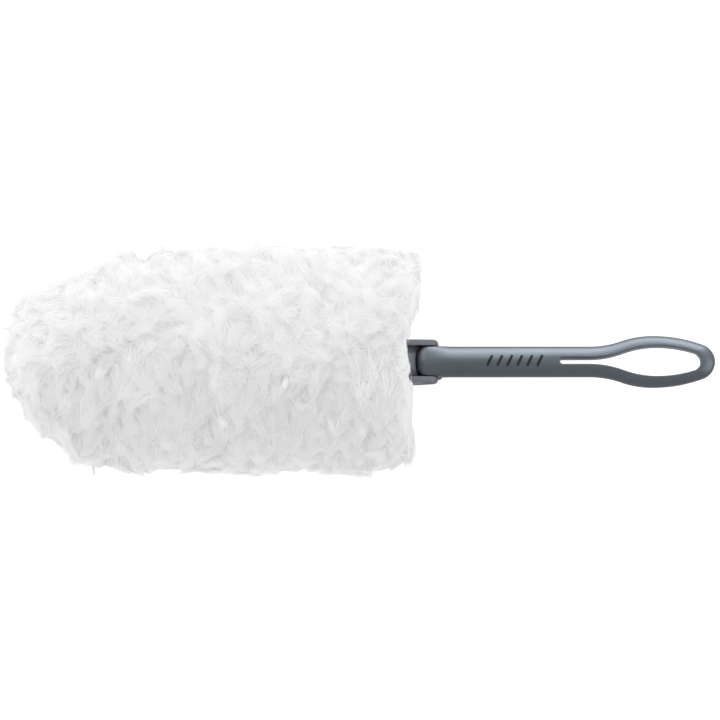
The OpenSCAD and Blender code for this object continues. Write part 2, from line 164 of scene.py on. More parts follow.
def primitive(kind: str, name: str, scale: Sequence[float] = (1, 1, 1), **settings: object) -> Piece:
    """Adds a primitive as the start of a piece, with its place in its mesh.

    Args:
        kind: which primitive, such as cube or cylinder.
        name: the piece's name.
        scale: how far it is stretched along its own axes.
        settings: the primitive's own settings, by name.

    Returns:
        The piece.
    """
    bpy.ops.object.select_all(action="DESELECT")
    getattr(bpy.ops.mesh, f"primitive_{kind}_add")(**settings)
    piece = newest(name)
    piece.scale = scale
    settle(piece)
    return piece


def modify(piece: Piece, kind: str, **settings: object) -> None:
    """Adds a modifier to a piece and applies it.

    Args:
        piece: the piece to change.
        kind: the modifier's type.
        settings: the modifier's own settings, by name.
    """
    modifier = piece.modifiers.new(kind, kind)
    for name, value in settings.items():
        setattr(modifier, name, value)
    pick(piece)
    bpy.ops.object.modifier_apply(modifier=modifier.name)


def round_edges(piece: Piece, width: float, steps: int, angle: float) -> None:
    """Rounds every edge that is sharper than an angle.

    Args:
        piece: the piece to change.
        width: how wide the rounding is, in millimetres.
        steps: how many steps it takes.
        angle: the angle in degrees.
    """
    limit = math.radians(angle)
    modify(piece, "BEVEL", width=width * MM, segments=steps, limit_method="ANGLE", angle_limit=limit)


def choose(piece: Piece, element: Element, chosen: Array) -> None:
    """Selects only the chosen edges or faces, ready for edit mode.

    Args:
        piece: the piece, in object mode.
        element: what is selected.
        chosen: one truth value for each.
    """
    for other in Element:
        items = getattr(piece.data, other.value)
        items.foreach_set("select", chosen if other is element else np.zeros(len(items), bool))
    bpy.context.tool_settings.mesh_select_mode = [other is element for other in Element]


def read(mesh: bpy.types.Mesh, element: Element, key: str, width: int, kind: type = np.float32) -> Array:
    """Reads one property of a mesh's vertices, edges or faces.

    Args:
        mesh: the mesh.
        element: whose property it is.
        key: the property's name.
        width: how many numbers each has.
        kind: the numbers' type.

    Returns:
        One row for each.
    """
    items = getattr(mesh, element.value)
    rows = np.empty(len(items) * width, kind)
    items.foreach_get(key, rows)
    return rows.reshape(-1, width)


def vertex_places(piece: Piece) -> Array:
    """The places of a piece's vertices, one row each, in metres."""
    return read(piece.data, Element.VERTEX, "co", 3).astype(float)


def place_vertices(piece: Piece, places: Array) -> None:
    """Moves a piece's vertices to these places, one row each, given from the pin in millimetres."""
    piece.data.vertices.foreach_set("co", ((places + PIN) * MM).astype(np.float32).ravel())
    piece.data.update()


def smooth(piece: Piece, angle: float) -> None:
    """Shades a piece smooth, apart from edges sharper than an angle in degrees."""
    pick(piece)
    bpy.ops.object.shade_smooth_by_angle(angle=math.radians(angle))


def wear(piece: Piece, *materials: Material) -> None:
    """Gives a piece these materials in place of any others.

    Args:
        piece: the piece to dress.
        materials: its materials, in the order of its slots.
    """
    piece.data.materials.clear()
    for material in materials:
        piece.data.materials.append(material)


def mount(piece: Piece, body: Body, slot: Slot, *nodes: str) -> Piece:
    """Ties a finished piece to the frame.

    Args:
        piece: the finished piece.
        body: the body that it rides on.
        slot: the record's slot for its finish; it is not used.
        nodes: the solids that it stands for.

    Returns:
        The same piece.
    """
    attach(piece, body.value)
    if nodes:
        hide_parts(*nodes)
    return piece


def merged_copy(node: str, name: str, flat_angle: float) -> Piece:
    """Copies a solid of the frame and merges its loose triangles into flat faces.

    Args:
        node: the solid's name.
        name: the new piece's name.
        flat_angle: faces that meet at less than this, in degrees, become one.

    Returns:
        The new piece, with no parent.
    """
    piece = bpy.data.objects.new(name, frame["nodes"][node].data.copy())
    bpy.context.scene.collection.objects.link(piece)
    piece.data.name = name
    with editing(piece):
        bpy.ops.mesh.select_all(action="SELECT")
        bpy.ops.mesh.remove_doubles(threshold=WELD * MM)
        if flat_angle:
            bpy.ops.mesh.dissolve_limited(angle_limit=math.radians(flat_angle))
    return piece


def block(name: str, low: Sequence[float], high: Sequence[float]) -> Piece:
    """A plain block between two corners, which are given from the pin in millimetres.

    Args:
        name: the block's name.
        low: its lowest corner.
        high: its highest corner.

    Returns:
        The block.
    """
    low, high = np.array(low), np.array(high)
    return primitive("cube", name, (high - low) * MM, size=1, location=(PIN + (low + high) / 2) * MM)


def carve(piece: Piece, way: Carve, tool: Piece) -> None:
    """Adds a tool to a piece or cuts the piece with it, and uses the tool up.

    Args:
        piece: the piece to change.
        way: what the tool does.
        tool: the solid that does it.
    """
    modify(piece, "BOOLEAN", operation=way.value, object=tool, solver="EXACT", material_mode="TRANSFER")
    bpy.data.objects.remove(tool)


def arc(centre: Sequence[float], radius: float, start: float, end: float, steps: int) -> Array:
    """Points on an arc in plan.

    Args:
        centre: the arc's centre.
        radius: its radius.
        start: the first point's angle in degrees.
        end: the last point's angle in degrees.
        steps: how many steps it takes.

    Returns:
        One row per point.
    """
    angle = np.radians(np.linspace(start, end, steps + 1))
    return np.array(centre) + radius * np.stack([np.cos(angle), np.sin(angle)], 1)


def s_curve(first: Sequence[float], last: Sequence[float], steps: int) -> Array:
    """Two equal arcs between two points in plan, level at both ends.

    Args:
        first: the first point.
        last: the last point.
        steps: how many steps it takes.

    Returns:
        One row per point.
    """
    run, rise = last[0] - first[0], last[1] - first[1]
    radius = (run * run + rise * rise) / (4 * rise)
    turn = 2 * math.atan(rise / run)
    there = np.linspace(0, 2 * turn, steps + 1)
    back = 2 * turn - there
    out = np.array(first) + radius * np.stack([np.sin(there), 1 - np.cos(there)], 1)
    home = np.array(last) - radius * np.stack([np.sin(back), 1 - np.cos(back)], 1)
    return np.where((there <= turn)[:, None], out, home)


def soft_step(value: Array, low: float, high: float) -> Array:
    """Rises smoothly from 0 at low to 1 at high."""
    share = np.clip((value - low) / (high - low), 0, 1)
    return share * share * (3 - 2 * share)


def unit(rows: Array, least: float = 0) -> Array:
    """Vectors of length 1 along these, which count as no shorter than the least length."""
    return rows / np.maximum(np.linalg.norm(rows, axis=-1, keepdims=True), least)


def square_to(way: Array, rows: Array) -> Array:
    """The part of each vector that is square to the way in the same row, which has length 1."""
    return rows - (rows * way).sum(1, keepdims=True) * way


def round_tip(distance: Array, length: float) -> Array:
    """Rises from 0 to 1 over a length, as a quarter of an ellipse does."""
    return np.sqrt(1 - np.clip(1 - distance / length, 0, 1) ** 2)


# Shader helpers


class Maths:
    """A value in a node tree. Its operators add Math nodes."""

    def __init__(self, shader: "NodeTree", socket: Socket) -> None:
        """Wraps a socket of a shader's tree."""
        self.shader = shader
        self.socket = socket

    def join(self, operation: str, *values: object) -> "Maths":
        """Adds one Math node over these values."""
        node = self.shader.node("Math", {"operation": operation}, dict(enumerate(values)))
        return Maths(self.shader, node.outputs[0])

    def __add__(self, other: object) -> "Maths":
        """Adds a value or a number."""
        return self.join("ADD", self, other)

    def __sub__(self, other: object) -> "Maths":
        """Takes a value or a number away."""
        return self.join("SUBTRACT", self, other)

    def __rsub__(self, other: object) -> "Maths":
        """Takes this value away from a number."""
        return self.join("SUBTRACT", other, self)

    def __mul__(self, other: object) -> "Maths":
        """Multiplies by a value or a number."""
        return self.join("MULTIPLY", self, other)

    def __pow__(self, other: object) -> "Maths":
        """Raises this value to a power."""
        return self.join("POWER", self, other)

    __radd__ = __add__
    __rmul__ = __mul__

    def sine(self) -> "Maths":
        """The sine of this value in radians."""
        return self.join("SINE", self)


class NodeTree:
    """A node tree with short ways to add its nodes."""

    def __init__(self, tree: bpy.types.NodeTree) -> None:
        """Wraps a tree that exists."""
        self.tree = tree

    def feed(self, socket: Socket, value: object) -> None:
        """Links a value to a socket, or sets a plain number or colour on it.

        Args:
            socket: the input socket.
            value: a value, an output socket, a number or a colour.
        """
        if isinstance(value, Maths):
            value = value.socket
        if isinstance(value, Socket):
            self.tree.links.new(value, socket)
        else:
            socket.default_value = value

    def node(self, kind: str, settings: dict, sockets: dict) -> bpy.types.Node:
        """Adds a node.

        Args:
            kind: the node's type, without its prefix.
            settings: the node's own settings, which are set first.
            sockets: the values or links of its input sockets, by name or number.

        Returns:
            The node.
        """
        node = self.tree.nodes.new("ShaderNode" + kind)
        for name, value in settings.items():
            setattr(node, name, value)
        for name, value in sockets.items():
            self.feed(node.inputs[name], value)
        return node

    def axes(self, vector: Socket) -> list[Maths]:
        """The three parts of a vector, as values."""
        return [Maths(self, part) for part in self.node("SeparateXYZ", {}, {0: vector}).outputs]

    def mix(self, share: object, first: object, second: object) -> Socket:
        """Blends two colours by a value, each a plain colour or a socket.

        Args:
            share: how much of the second colour shows.
            first: the first colour.
            second: the second colour.

        Returns:
            The blended colour.
        """
        ends = [(*end, 1) if isinstance(end, tuple) else end for end in (first, second)]
        # A Mix node's sockets for colours come after those for numbers and vectors
        sockets = {"Factor": share, 6: ends[0], 7: ends[1]}
        return self.node("Mix", {"data_type": "RGBA"}, sockets).outputs[2]


class Shader(NodeTree):
    """One material's node tree, with its surface shader."""

    def __init__(self, name: str) -> None:
        """Starts a material.

        Args:
            name: the material's name.
        """
        self.material = bpy.data.materials.new(name)
        self.material.use_nodes = True
        super().__init__(self.material.node_tree)
        self.surface = self.tree.nodes["Principled BSDF"]

    def set(self, **sockets: object) -> None:
        """Sets or links the surface shader's sockets, with _ for a space in a name."""
        for name, value in sockets.items():
            self.feed(self.surface.inputs[name.replace("_", " ")], value)

    def place(self) -> Socket:
        """The piece's own coordinates, in metres."""
        return self.node("TexCoord", {}, {}).outputs["Object"]

    def stretched(self, scale: Sequence[float]) -> Socket:
        """The piece's own coordinates, stretched along its axes."""
        return self.node("Mapping", {}, {"Vector": self.place(), "Scale": scale}).outputs[0]

    def noise(self, size: float, detail: float, vector: Socket | None = None) -> Maths:
        """A noise between 0 and 1.

        Args:
            size: the size of its spots, in metres.
            detail: how many finer layers it has.
            vector: where it is read, or nothing for the piece's own coordinates.

        Returns:
            The noise as a value.
        """
        sockets = {"Vector": vector or self.place(), "Scale": 1 / size, "Detail": detail}
        return Maths(self, self.node("TexNoise", {}, sockets).outputs["Fac"])

    def bump(self, height: Maths, distance: float) -> None:
        """Gives the surface a bump whose full height is a distance in metres."""
        sockets = {"Height": height, "Distance": distance}
        self.set(Normal=self.node("Bump", {}, sockets).outputs["Normal"])


# Finishes


@dataclass(frozen=True)
class MouldedPlastic:
    """A moulded plastic with a spark-eroded grain and faint flow marks, and some pearl pigment in it."""

    name: str
    colour: Colour
    streak: Colour
    roughness: float
    pearl: float = 0
    grain_size: float = 0.35 * MM
    grain_depth: float = 0.012 * MM
    grain_detail: float = 2
    grain_share: float = 0.2
    flow_size: float = 22 * MM
    flow_detail: float = 3
    flow_stretch: Triple = (0.35, 1, 1)
    flow_gloss: float = 0.1

    def material(self) -> Material:
        """Builds the material.

        Returns:
            The material.
        """
        shader = Shader(self.name)
        flow = shader.noise(self.flow_size, self.flow_detail, shader.stretched(self.flow_stretch))
        grain = shader.noise(self.grain_size, self.grain_detail)
        streaks = flow * (1 - self.grain_share) + grain * self.grain_share
        shader.set(
            Base_Color=shader.mix(streaks, self.colour, self.streak),
            Roughness=self.roughness - self.flow_gloss / 2 + self.flow_gloss * flow,
            Metallic=self.pearl,
        )
        shader.bump(grain, self.grain_depth)
        return shader.material


@dataclass(frozen=True)
class Nonwoven:
    """A white spunbond sheet with rows of small bond points."""

    name: str
    colour: Colour
    bond: Colour
    roughness: float = 0.85
    bond_pitch: float = 1.8 * MM
    bond_gloss: float = 0.2
    fibre_size: float = 0.6 * MM
    fibre_detail: float = 4
    fibre_stretch: Triple = (0.3, 1, 1)
    fibre_share: float = 0.4
    depth: float = 0.12 * MM

    def material(self) -> Material:
        """Builds the material.

        Returns:
            The material.
        """
        shader = Shader(self.name)
        turn = math.tau / self.bond_pitch
        across, along = (axis * turn for axis in shader.axes(shader.place())[:2])
        dimple = ((across + along).sine() * (across - along).sine()) ** 2
        fibres = shader.noise(self.fibre_size, self.fibre_detail, shader.stretched(self.fibre_stretch))
        marks = dimple * (1 - self.fibre_share) + fibres * self.fibre_share
        shader.set(
            Base_Color=shader.mix(marks, self.colour, self.bond),
            Roughness=self.roughness - self.bond_gloss * dimple,
        )
        shader.bump(fibres * self.fibre_share - dimple, self.depth)
        return shader.material


@dataclass(frozen=True)
class Wadding:
    """The dense heart of the fibre tow, where single fibres no longer show."""

    name: str
    light: Colour
    shade: Colour
    roughness: float = 0.8
    lump_size: float = 9 * MM
    lump_detail: float = 2
    fibre_size: float = 0.9 * MM
    fibre_detail: float = 4
    fibre_stretch: Triple = (1, 0.35, 1)
    fibre_share: float = 0.5
    fibre_gloss: float = 0.15
    depth: float = 0.6 * MM

    def material(self) -> Material:
        """Builds the material.

        Returns:
            The material.
        """
        shader = Shader(self.name)
        lumps = shader.noise(self.lump_size, self.lump_detail)
        fibres = shader.noise(self.fibre_size, self.fibre_detail, shader.stretched(self.fibre_stretch))
        marks = lumps * (1 - self.fibre_share) + fibres * self.fibre_share
        shader.set(
            Base_Color=shader.mix(marks, self.shade, self.light),
            Roughness=self.roughness + self.fibre_gloss * fibres,
        )
        shader.bump(fibres, self.depth)
        return shader.material


@dataclass(frozen=True)
class Fibre:
    """Crimped white fibre: each strand has its own tint, and it is paler at its tip; its greyer root is
    painted shade of the pelt's depth.
    """

    name: str
    tip: Colour
    root: Colour
    cool: Colour
    roughness: float = 0.7
    tint_gloss: float = 0.1
    root_shade_fade: float = 2
    sheen: float = 0.25
    map_name: str = "OFBake"

    def material(self) -> Material:
        """Builds the material, which reads each strand's tint and length from its map.

        Returns:
            The material.
        """
        shader = Shader(self.name)
        strand = shader.node("UVMap", {"uv_map": self.map_name}, {}).outputs[0]
        tint, along = shader.axes(strand)[:2]
        body = shader.mix(tint, self.tip, self.cool)
        shader.set(
            # Painted shade: each strand turns greyer towards its root, deep in the pelt
            Base_Color=shader.mix((1 - along) ** self.root_shade_fade, body, self.root),
            Roughness=self.roughness + self.tint_gloss * tint,
            Sheen_Weight=self.sheen,
        )
        return shader.material


HANDLE_GREY = MouldedPlastic("handle_grey", (0.128, 0.147, 0.167), (0.117, 0.135, 0.155), 0.42, 0.9)
FORK_GREY = MouldedPlastic("fork_grey", (0.14, 0.15, 0.168), (0.128, 0.137, 0.155), 0.45, 0.3)
PIN_GREY = MouldedPlastic("pin_grey", (0.06, 0.064, 0.07), (0.05, 0.053, 0.06), 0.35)
# Painted shade: the grooves are coloured near black, as deep recesses look in shade
GROOVE_PAINTED_SHADE = MouldedPlastic("groove_ink", (0.012, 0.014, 0.022), (0.02, 0.022, 0.03), 0.55)
SHEET_WHITE = Nonwoven("sheet_white", (0.86, 0.87, 0.87), (0.74, 0.75, 0.76))
WADDING_WHITE = Wadding("wadding_white", (0.985, 0.985, 0.985), (0.975, 0.975, 0.977))
FIBRE_WHITE = Fibre("fibre_white", (0.992, 0.992, 0.99), (0.985, 0.985, 0.986), (0.982, 0.983, 0.986))


# Handle


@dataclass
class Handle:
    """The moulded handle: round nose, tapering grip, slot and hanging loop. Sizes in millimetres."""

    nose_r: float = 6.2
    nose_first: float = 10
    length: float = 143.25
    grip_w: float = 15.2
    loop_h: float = 8.4
    top_round: float = 6.8
    under_round: float = 3
    side_flat: float = 0.2
    nose_flat: float = 0.6
    most_round: float = 0.9
    slant: float = 0.3
    slot_ease: float = 16
    flare_x: float = 80.5
    loop_x: float = 112
    loop_w: float = 26
    loop_tip_r: float = 9
    slot_x: float = 65.5
    slot_w: float = 3.1
    hole_x: float = 114
    hole_w: float = 15.2
    hole_tip_r: float = 5
    tip_wall: float = 7.25
    rim_round: float = 0.55
    rim_steps: int = 3
    pin_d: float = 4
    pin_play: float = 0.05
    boss_d: float = 6.8
    boss_proud: float = 0.02
    groove_n: int = 6
    groove_x: float = 30.5
    groove_pitch: float = 5
    groove_len: float = 6.4
    groove_w: float = 1.4
    groove_depth: float = 1.05
    groove_slant: float = 25
    groove_flare: float = 0.22
    groove_end_flare: float = 0.055
    core_n: int = 4
    core_x: float = 12.5
    core_end_x: float = 60
    core_rib: float = 1.6
    core_wall: float = 2.2
    core_skin: float = 2.7
    core_corner: float = 1.2
    core_steps: int = 3
    over: float = 1
    seam_weld: float = 0.01
    nose_steps: int = 10
    grip_steps: int = 44
    slot_steps: int = 6
    flare_steps: int = 28
    flank_steps: int = 10
    tip_steps: int = 18
    round_steps: int = 11
    round_sides: int = 48
    groove_sides: int = 24
    sharp: float = 32
    square: float = 30
    level: float = 0.9

    def half_h(self, x: Array) -> Array:
        """Half the handle's thickness.

        Args:
            x: how far along the handle, from the pin.

        Returns:
            The half thickness at each x.
        """
        nose = np.sqrt(np.maximum(self.nose_r**2 - x * x, 0))
        taper = self.nose_r + (self.loop_h / 2 - self.nose_r) * x / self.length
        return np.where(x < 0, nose, taper)

    def nose_half_w(self, x: Array) -> Array:
        """Half the round nose's width in plan at x, behind the pin."""
        return self.grip_w / 2 - self.nose_r + self.half_h(x)

    def upright_h(self, x: Array) -> Array:
        """Half the height of the sides' upright part at x: tall beside the ears, low along the grip."""
        along_grip = soft_step(x, 0, 2 * self.nose_r)
        return self.half_h(x) * (self.nose_flat + (self.side_flat - self.nose_flat) * along_grip)

    def flank_and_tip(self, wide: Pair, end_x: float, tip_r: float) -> Array:
        """A flank that starts level at the widest point and runs into the tip's arc.

        Args:
            wide: the widest point in plan.
            end_x: where the tip ends on the middle line.
            tip_r: the tip's radius.

        Returns:
            One row per point, without the widest point itself.
        """
        run = end_x - tip_r - wide[0]
        flank_r = (run * run + wide[1] ** 2 - tip_r**2) / (2 * (wide[1] - tip_r))
        join = math.degrees(math.atan2(flank_r - wide[1], run))
        flank = arc((wide[0], wide[1] - flank_r), flank_r, 90, join, self.flank_steps)
        tip = arc((end_x - tip_r, 0), tip_r, join, 0, self.tip_steps)
        return np.concatenate([flank[1:], tip[1:]])

    def plan(self) -> tuple[Array, Array, int]:
        """The plan's outer and inner edge, station by station from the nose to the loop's end.

        Returns:
            The outer edge, the inner edge, and the station where the slot starts.
        """
        angle = np.radians(np.linspace(self.nose_first, 90, self.nose_steps + 1)[:-1])
        nose = -self.nose_r * np.cos(angle)
        grip = np.linspace(0, self.slot_x, self.grip_steps + 1)[:-1]
        slot_r = self.slot_w / 2
        slot = arc((self.slot_x + slot_r, 0), slot_r, 180, 90, self.slot_steps)
        half = self.grip_w / 2
        wide, hole = (self.loop_x, self.loop_w / 2), (self.hole_x, self.hole_w / 2)
        outer = np.concatenate([
            np.stack([nose, self.nose_half_w(nose)], 1),
            np.stack([grip, np.full_like(grip, half)], 1),
            np.stack([slot[:, 0], np.full(len(slot), half)], 1),
            s_curve((self.flare_x, half), wide, self.flare_steps),
            self.flank_and_tip(wide, self.length, self.loop_tip_r),
        ])
        middle = np.concatenate([nose, grip])
        inner = np.concatenate([
            np.stack([middle, np.zeros_like(middle)], 1),
            slot,
            s_curve((self.flare_x, slot_r), hole, self.flare_steps),
            self.flank_and_tip(hole, self.length - self.tip_wall, self.hole_tip_r),
        ])
        return outer, inner, len(middle)

    def half_sections(self, outer: Array, inner: Array) -> Array:
        """Half sections from the inner edge's top, over the outer side, to its bottom.

        Args:
            outer: the plan's outer edge.
            inner: the plan's inner edge.

        Returns:
            An array by section point, station and axis.
        """
        span = np.linalg.norm(outer - inner, axis=1, keepdims=True)
        inward = (inner - outer) / span
        flat_z = self.upright_h(outer[:, 0])
        at_slot = self.most_round * (self.grip_w - self.slot_w) / 2
        closing = soft_step(outer[:, :1], self.slot_x - self.slot_ease, self.slot_x)
        rows = []
        for reach, slant, sign in ((self.top_round, self.slant, 1), (self.under_round, 0, -1)):
            eased = reach + (min(at_slot, reach) - reach) * closing
            width = np.minimum(eased, self.most_round * span)
            for step in range(self.round_steps + 1):
                angle = math.pi / 2 * step / self.round_steps
                angle = math.pi / 2 - angle if sign > 0 else angle
                share_in = 1 - math.cos(angle)
                share_up = (1 - slant) * math.sin(angle) + slant * share_in
                at = outer + inward * width * share_in
                height = flat_z + (self.half_h(at[:, 0]) - flat_z) * share_up
                rows.append(np.column_stack([at, sign * height]))
        top = np.column_stack([inner, self.half_h(inner[:, 0])])
        return np.array([top, *rows, top * (1, 1, -1)])

    def loft(self) -> Piece:
        """Shapes a grid into one half of the handle, closes its slot and hole, and mirrors it.

        Returns:
            The plain handle.
        """
        outer, inner, slot_station = self.plan()
        sections = self.half_sections(outer, inner)
        rows, stations = sections.shape[:2]
        grid = {"x_subdivisions": stations - 1, "y_subdivisions": rows - 1}
        piece = primitive("grid", "handle_moulding", **grid)
        place_vertices(piece, sections.reshape(-1, 3))
        ends = read(piece.data, Element.EDGE, "vertices", 2, np.int32)
        row, station = np.divmod(ends, stations)
        level = (row[:, 0] == row[:, 1]) & np.isin(row[:, 0], (0, rows - 1))
        choose(piece, Element.EDGE, level & (station.min(1) >= slot_station))
        with editing(piece):
            bpy.ops.transform.edge_bevelweight(value=1)
            bpy.ops.mesh.bridge_edge_loops()
        modify(piece, "MIRROR", use_axis=(False, True, False), merge_threshold=self.seam_weld * MM)
        with editing(piece):
            bpy.ops.mesh.select_all(action="DESELECT")
            bpy.ops.mesh.select_non_manifold(extend=False)
            bpy.ops.mesh.edge_face_add()
            bpy.ops.mesh.select_all(action="SELECT")
            bpy.ops.mesh.normals_make_consistent(inside=False)
        modify(piece, "BEVEL", limit_method="WEIGHT", width=self.rim_round * MM, segments=self.rim_steps)
        return piece

    def cross_rod(self, radius: float, length: float) -> Piece:
        """A round rod along the hinge, for a boss or a bore.

        Args:
            radius: its radius.
            length: its length.

        Returns:
            The rod.
        """
        return primitive(
            "cylinder", "cross_rod", vertices=self.round_sides, radius=radius * MM, depth=length * MM,
            location=PIN * MM, rotation=(math.pi / 2, 0, 0),
        )

    def pocket(self, index: int) -> Piece:
        """The room of one cored pocket in the underside.

        Args:
            index: its number from the nose.

        Returns:
            The pocket.
        """
        pitch = (self.core_end_x - self.core_x + self.core_rib) / self.core_n
        start = self.core_x + pitch * index
        side = self.grip_w / 2 - self.core_wall
        low = (start, -side, -self.nose_r - self.over)
        piece = block("pocket", low, (start + pitch - self.core_rib, side, self.loop_h / 2 - self.core_skin))
        round_edges(piece, self.core_corner, self.core_steps, self.square)
        return piece

    def groove(self, index: int) -> Piece:
        """The room of one slanted groove: a drafted round-ended slot with a flared mouth.

        Args:
            index: its number from the nose.

        Returns:
            The groove.
        """
        x = self.groove_x + self.groove_pitch * index
        top = float(self.half_h(np.array(x)))
        middle = -self.groove_depth / 2
        # It is shaped about the origin, and then turned and moved to its place
        piece = primitive(
            "cylinder", "groove", vertices=self.groove_sides, radius=self.groove_w / 2 * MM,
            depth=self.groove_depth * MM, location=(0, 0, middle * MM),
        )
        places = vertex_places(piece) / MM
        places[places[:, 2] < middle, :2] *= 1 - self.groove_flare
        stretch = (self.groove_len - self.groove_w) / 2
        places[:, 1] += np.where(np.abs(places[:, 1]) > WELD, np.sign(places[:, 1]), 0) * stretch
        place_vertices(piece, places - PIN)
        upright = read(piece.data, Element.FACE, "normal", 3)[:, 2]
        choose(piece, Element.FACE, upright > self.level)
        with editing(piece):
            mouth = {"value": (0, 0, self.groove_flare * MM)}
            bpy.ops.mesh.extrude_region_move(TRANSFORM_OT_translate=mouth)
            bpy.ops.transform.resize(value=(1 + self.groove_flare, 1 + self.groove_end_flare, 1))
        piece.rotation_euler.z = -math.radians(self.groove_slant)
        piece.location = (PIN + (x, 0, top)) * MM
        settle(piece)
        # Painted shade: the groove's walls and floor are near black, where shade falls in the recess
        wear(piece, GROOVE_PAINTED_SHADE.material())
        return piece

    def build(self) -> Piece:
        """Models the handle, with its boss, bore, pockets and grooves, and dresses it.

        Returns:
            The piece.
        """
        piece = self.loft()
        wear(piece, HANDLE_GREY.material())
        rods = (
            (Carve.ADD, self.cross_rod(self.boss_d / 2, self.grip_w + self.boss_proud)),
            (Carve.CUT, self.cross_rod(self.pin_d / 2 + self.pin_play, self.grip_w + 2 * self.over)),
        )
        cuts = [(Carve.CUT, self.pocket(i)) for i in range(self.core_n)]
        cuts += [(Carve.CUT, self.groove(i)) for i in range(self.groove_n)]
        for way, tool in (*rods, *cuts):
            carve(piece, way, tool)
        smooth(piece, self.sharp)
        return mount(piece, Body.HANDLE, Slot.HANDLE, "handle")


# Fork and pin


@dataclass
class Fork:
    """The two-pronged fork with its yoke, and the pin through it. Sizes in millimetres."""

    edge_round: float = 0.35
    edge_steps: int = 3
    edge_angle: float = 40
    flat_angle: float = 0.5
    sharp: float = 35
    ear_in: float = 7.9
    bridge_room: tuple[Pair, Pair] = ((-10.6, -1.5), (-4, 9))
    bridge_mid: Triple = (-8.3, 0, 4)
    bridge_slope: float = 35
    bridge_half: Pair = (3.6, 9)
    bridge_round: float = 0.6
    bridge_steps: int = 4
    socket_half: Pair = (6.6, 11)
    seated: float = 0.3
    rod_len: float = 40
    round_sides: int = 64

    def oval_rod(self, name: str, centre: Sequence[float], half: Pair, turn: float) -> Piece:
        """A long rod with an oval section.

        Args:
            name: the rod's name.
            centre: its middle, from the pin.
            half: its half sizes, along X before it is turned and along Y.
            turn: its turn about Y from upright, in degrees.

        Returns:
            The rod.
        """
        return primitive(
            "cylinder", name, (half[0] * MM, half[1] * MM, 1), vertices=self.round_sides, radius=1,
            depth=self.rod_len * MM, location=(PIN + centre) * MM, rotation=(0, math.radians(turn), 0),
        )

    def bridge(self) -> Piece:
        """The crowned bridge between the ears, hollowed to clear the folding nose.

        Returns:
            The bridge.
        """
        slope = math.radians(self.bridge_slope)
        sunk = self.bridge_half[0] * np.array([math.sin(slope), 0, math.cos(slope)])
        (back, low), (front, high) = self.bridge_room
        side = self.ear_in + self.seated
        piece = block("bridge", (back - self.seated, -side, low - self.seated), (front, side, high))
        turn = 90 + self.bridge_slope
        carve(piece, Carve.KEEP, self.oval_rod("barrel", self.bridge_mid - sunk, self.bridge_half, turn))
        carve(piece, Carve.CUT, self.oval_rod("socket", (0, 0, 0), self.socket_half, 0))
        round_edges(piece, self.bridge_round, self.bridge_steps, self.edge_angle)
        return piece

    def softened(self, node: str, name: str) -> Piece:
        """A copy of a solid with its edges rounded.

        Args:
            node: the solid's name.
            name: the piece's name.

        Returns:
            The piece.
        """
        piece = merged_copy(node, name, self.flat_angle)
        round_edges(piece, self.edge_round, self.edge_steps, self.edge_angle)
        smooth(piece, self.sharp)
        return piece

    def build(self) -> list[Piece]:
        """Makes and dresses the fork and the pin.

        Returns:
            The two pieces.
        """
        fork = self.softened("fork", "fork_moulding")
        (back, low), (front, high) = self.bridge_room
        carve(fork, Carve.CUT, block("old_slope", (back, -self.ear_in, low), (front, self.ear_in, high)))
        carve(fork, Carve.ADD, self.bridge())
        smooth(fork, self.sharp)
        wear(fork, FORK_GREY.material())
        pin = merged_copy("hinge_pin", "hinge_pin_rod", 0)
        smooth(pin, self.sharp)
        wear(pin, PIN_GREY.material())
        return [
            mount(fork, Body.FORK, Slot.FORK, "fork"),
            mount(pin, Body.FORK, Slot.PIN, "hinge_pin"),
        ]


# Sleeve sheets


@dataclass
class SleeveSheets:
    """Two nonwoven sheets whose channels make a sleeve for each tine. Sizes in millimetres."""

    thick: float = 0.6
    width: float = 44
    tine_in: float = 3.5
    tine_out: float = 14.5
    barb_h: float = 0.5
    gap: float = 0.3
    tine_t: float = 2.2
    slope: float = 0.7
    ripple: float = 0.1
    ripple_pitch: float = 13
    ripple_skew: float = 3
    steps_along: int = 90
    steps_across: int = 44
    sharp: float = 60

    def profile(self) -> Array:
        """The middle line of one sheet's section, from -Y to +Y.

        Returns:
            One row per point, as Y and Z.
        """
        lift = self.thick / 2
        raised = self.tine_t / 2 + self.gap + lift
        inside, outside = self.tine_in - self.gap, self.tine_out + self.barb_h + self.gap
        half = np.array([
            (0, lift), (inside - self.slope, lift), (inside, raised),
            (outside, raised), (outside + self.slope, lift), (self.width / 2, lift),
        ])
        return np.concatenate([half[:0:-1] * (-1, 1), half])

    def sheet(self, node: str, side: int) -> Piece:
        """One sheet, with faint ripples where it stands clear of the tines.

        Args:
            node: the solid that it stands for.
            side: 1 for the upper sheet and -1 for the lower one.

        Returns:
            The piece.
        """
        low, high = (np.array(corner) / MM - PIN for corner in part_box(node))
        line = self.profile()
        run = np.concatenate([[0], np.cumsum(np.linalg.norm(np.diff(line, axis=0), axis=1))])
        along = np.linspace(low[0], high[0], self.steps_along + 1)
        across = np.union1d(np.linspace(0, run[-1], self.steps_across + 1), run)
        y, z = (np.interp(across, run, line[:, i])[:, None] for i in (0, 1))
        raised = z > self.thick
        wave = self.ripple * (1 + np.sin(math.tau * along / self.ripple_pitch + y / self.ripple_skew)) / 2
        x = np.broadcast_to(along, wave.shape)
        places = np.stack([x, np.broadcast_to(y, x.shape), side * (z + wave * raised)], 2)
        grid = {"x_subdivisions": len(along) - 1, "y_subdivisions": len(across) - 1}
        piece = primitive("grid", node + "_cloth", **grid)
        place_vertices(piece, places.reshape(-1, 3))
        modify(piece, "SOLIDIFY", thickness=self.thick * MM, offset=0)
        smooth(piece, self.sharp)
        wear(piece, SHEET_WHITE.material())
        mount(piece, Body.REFILL, Slot.NONWOVEN, node)
        return piece

    def build(self) -> list[Piece]:
        """Makes and dresses both sheets."""
        return [self.sheet("sleeve_sheet_upper", 1), self.sheet("sleeve_sheet_lower", -1)]


# Fibre tow


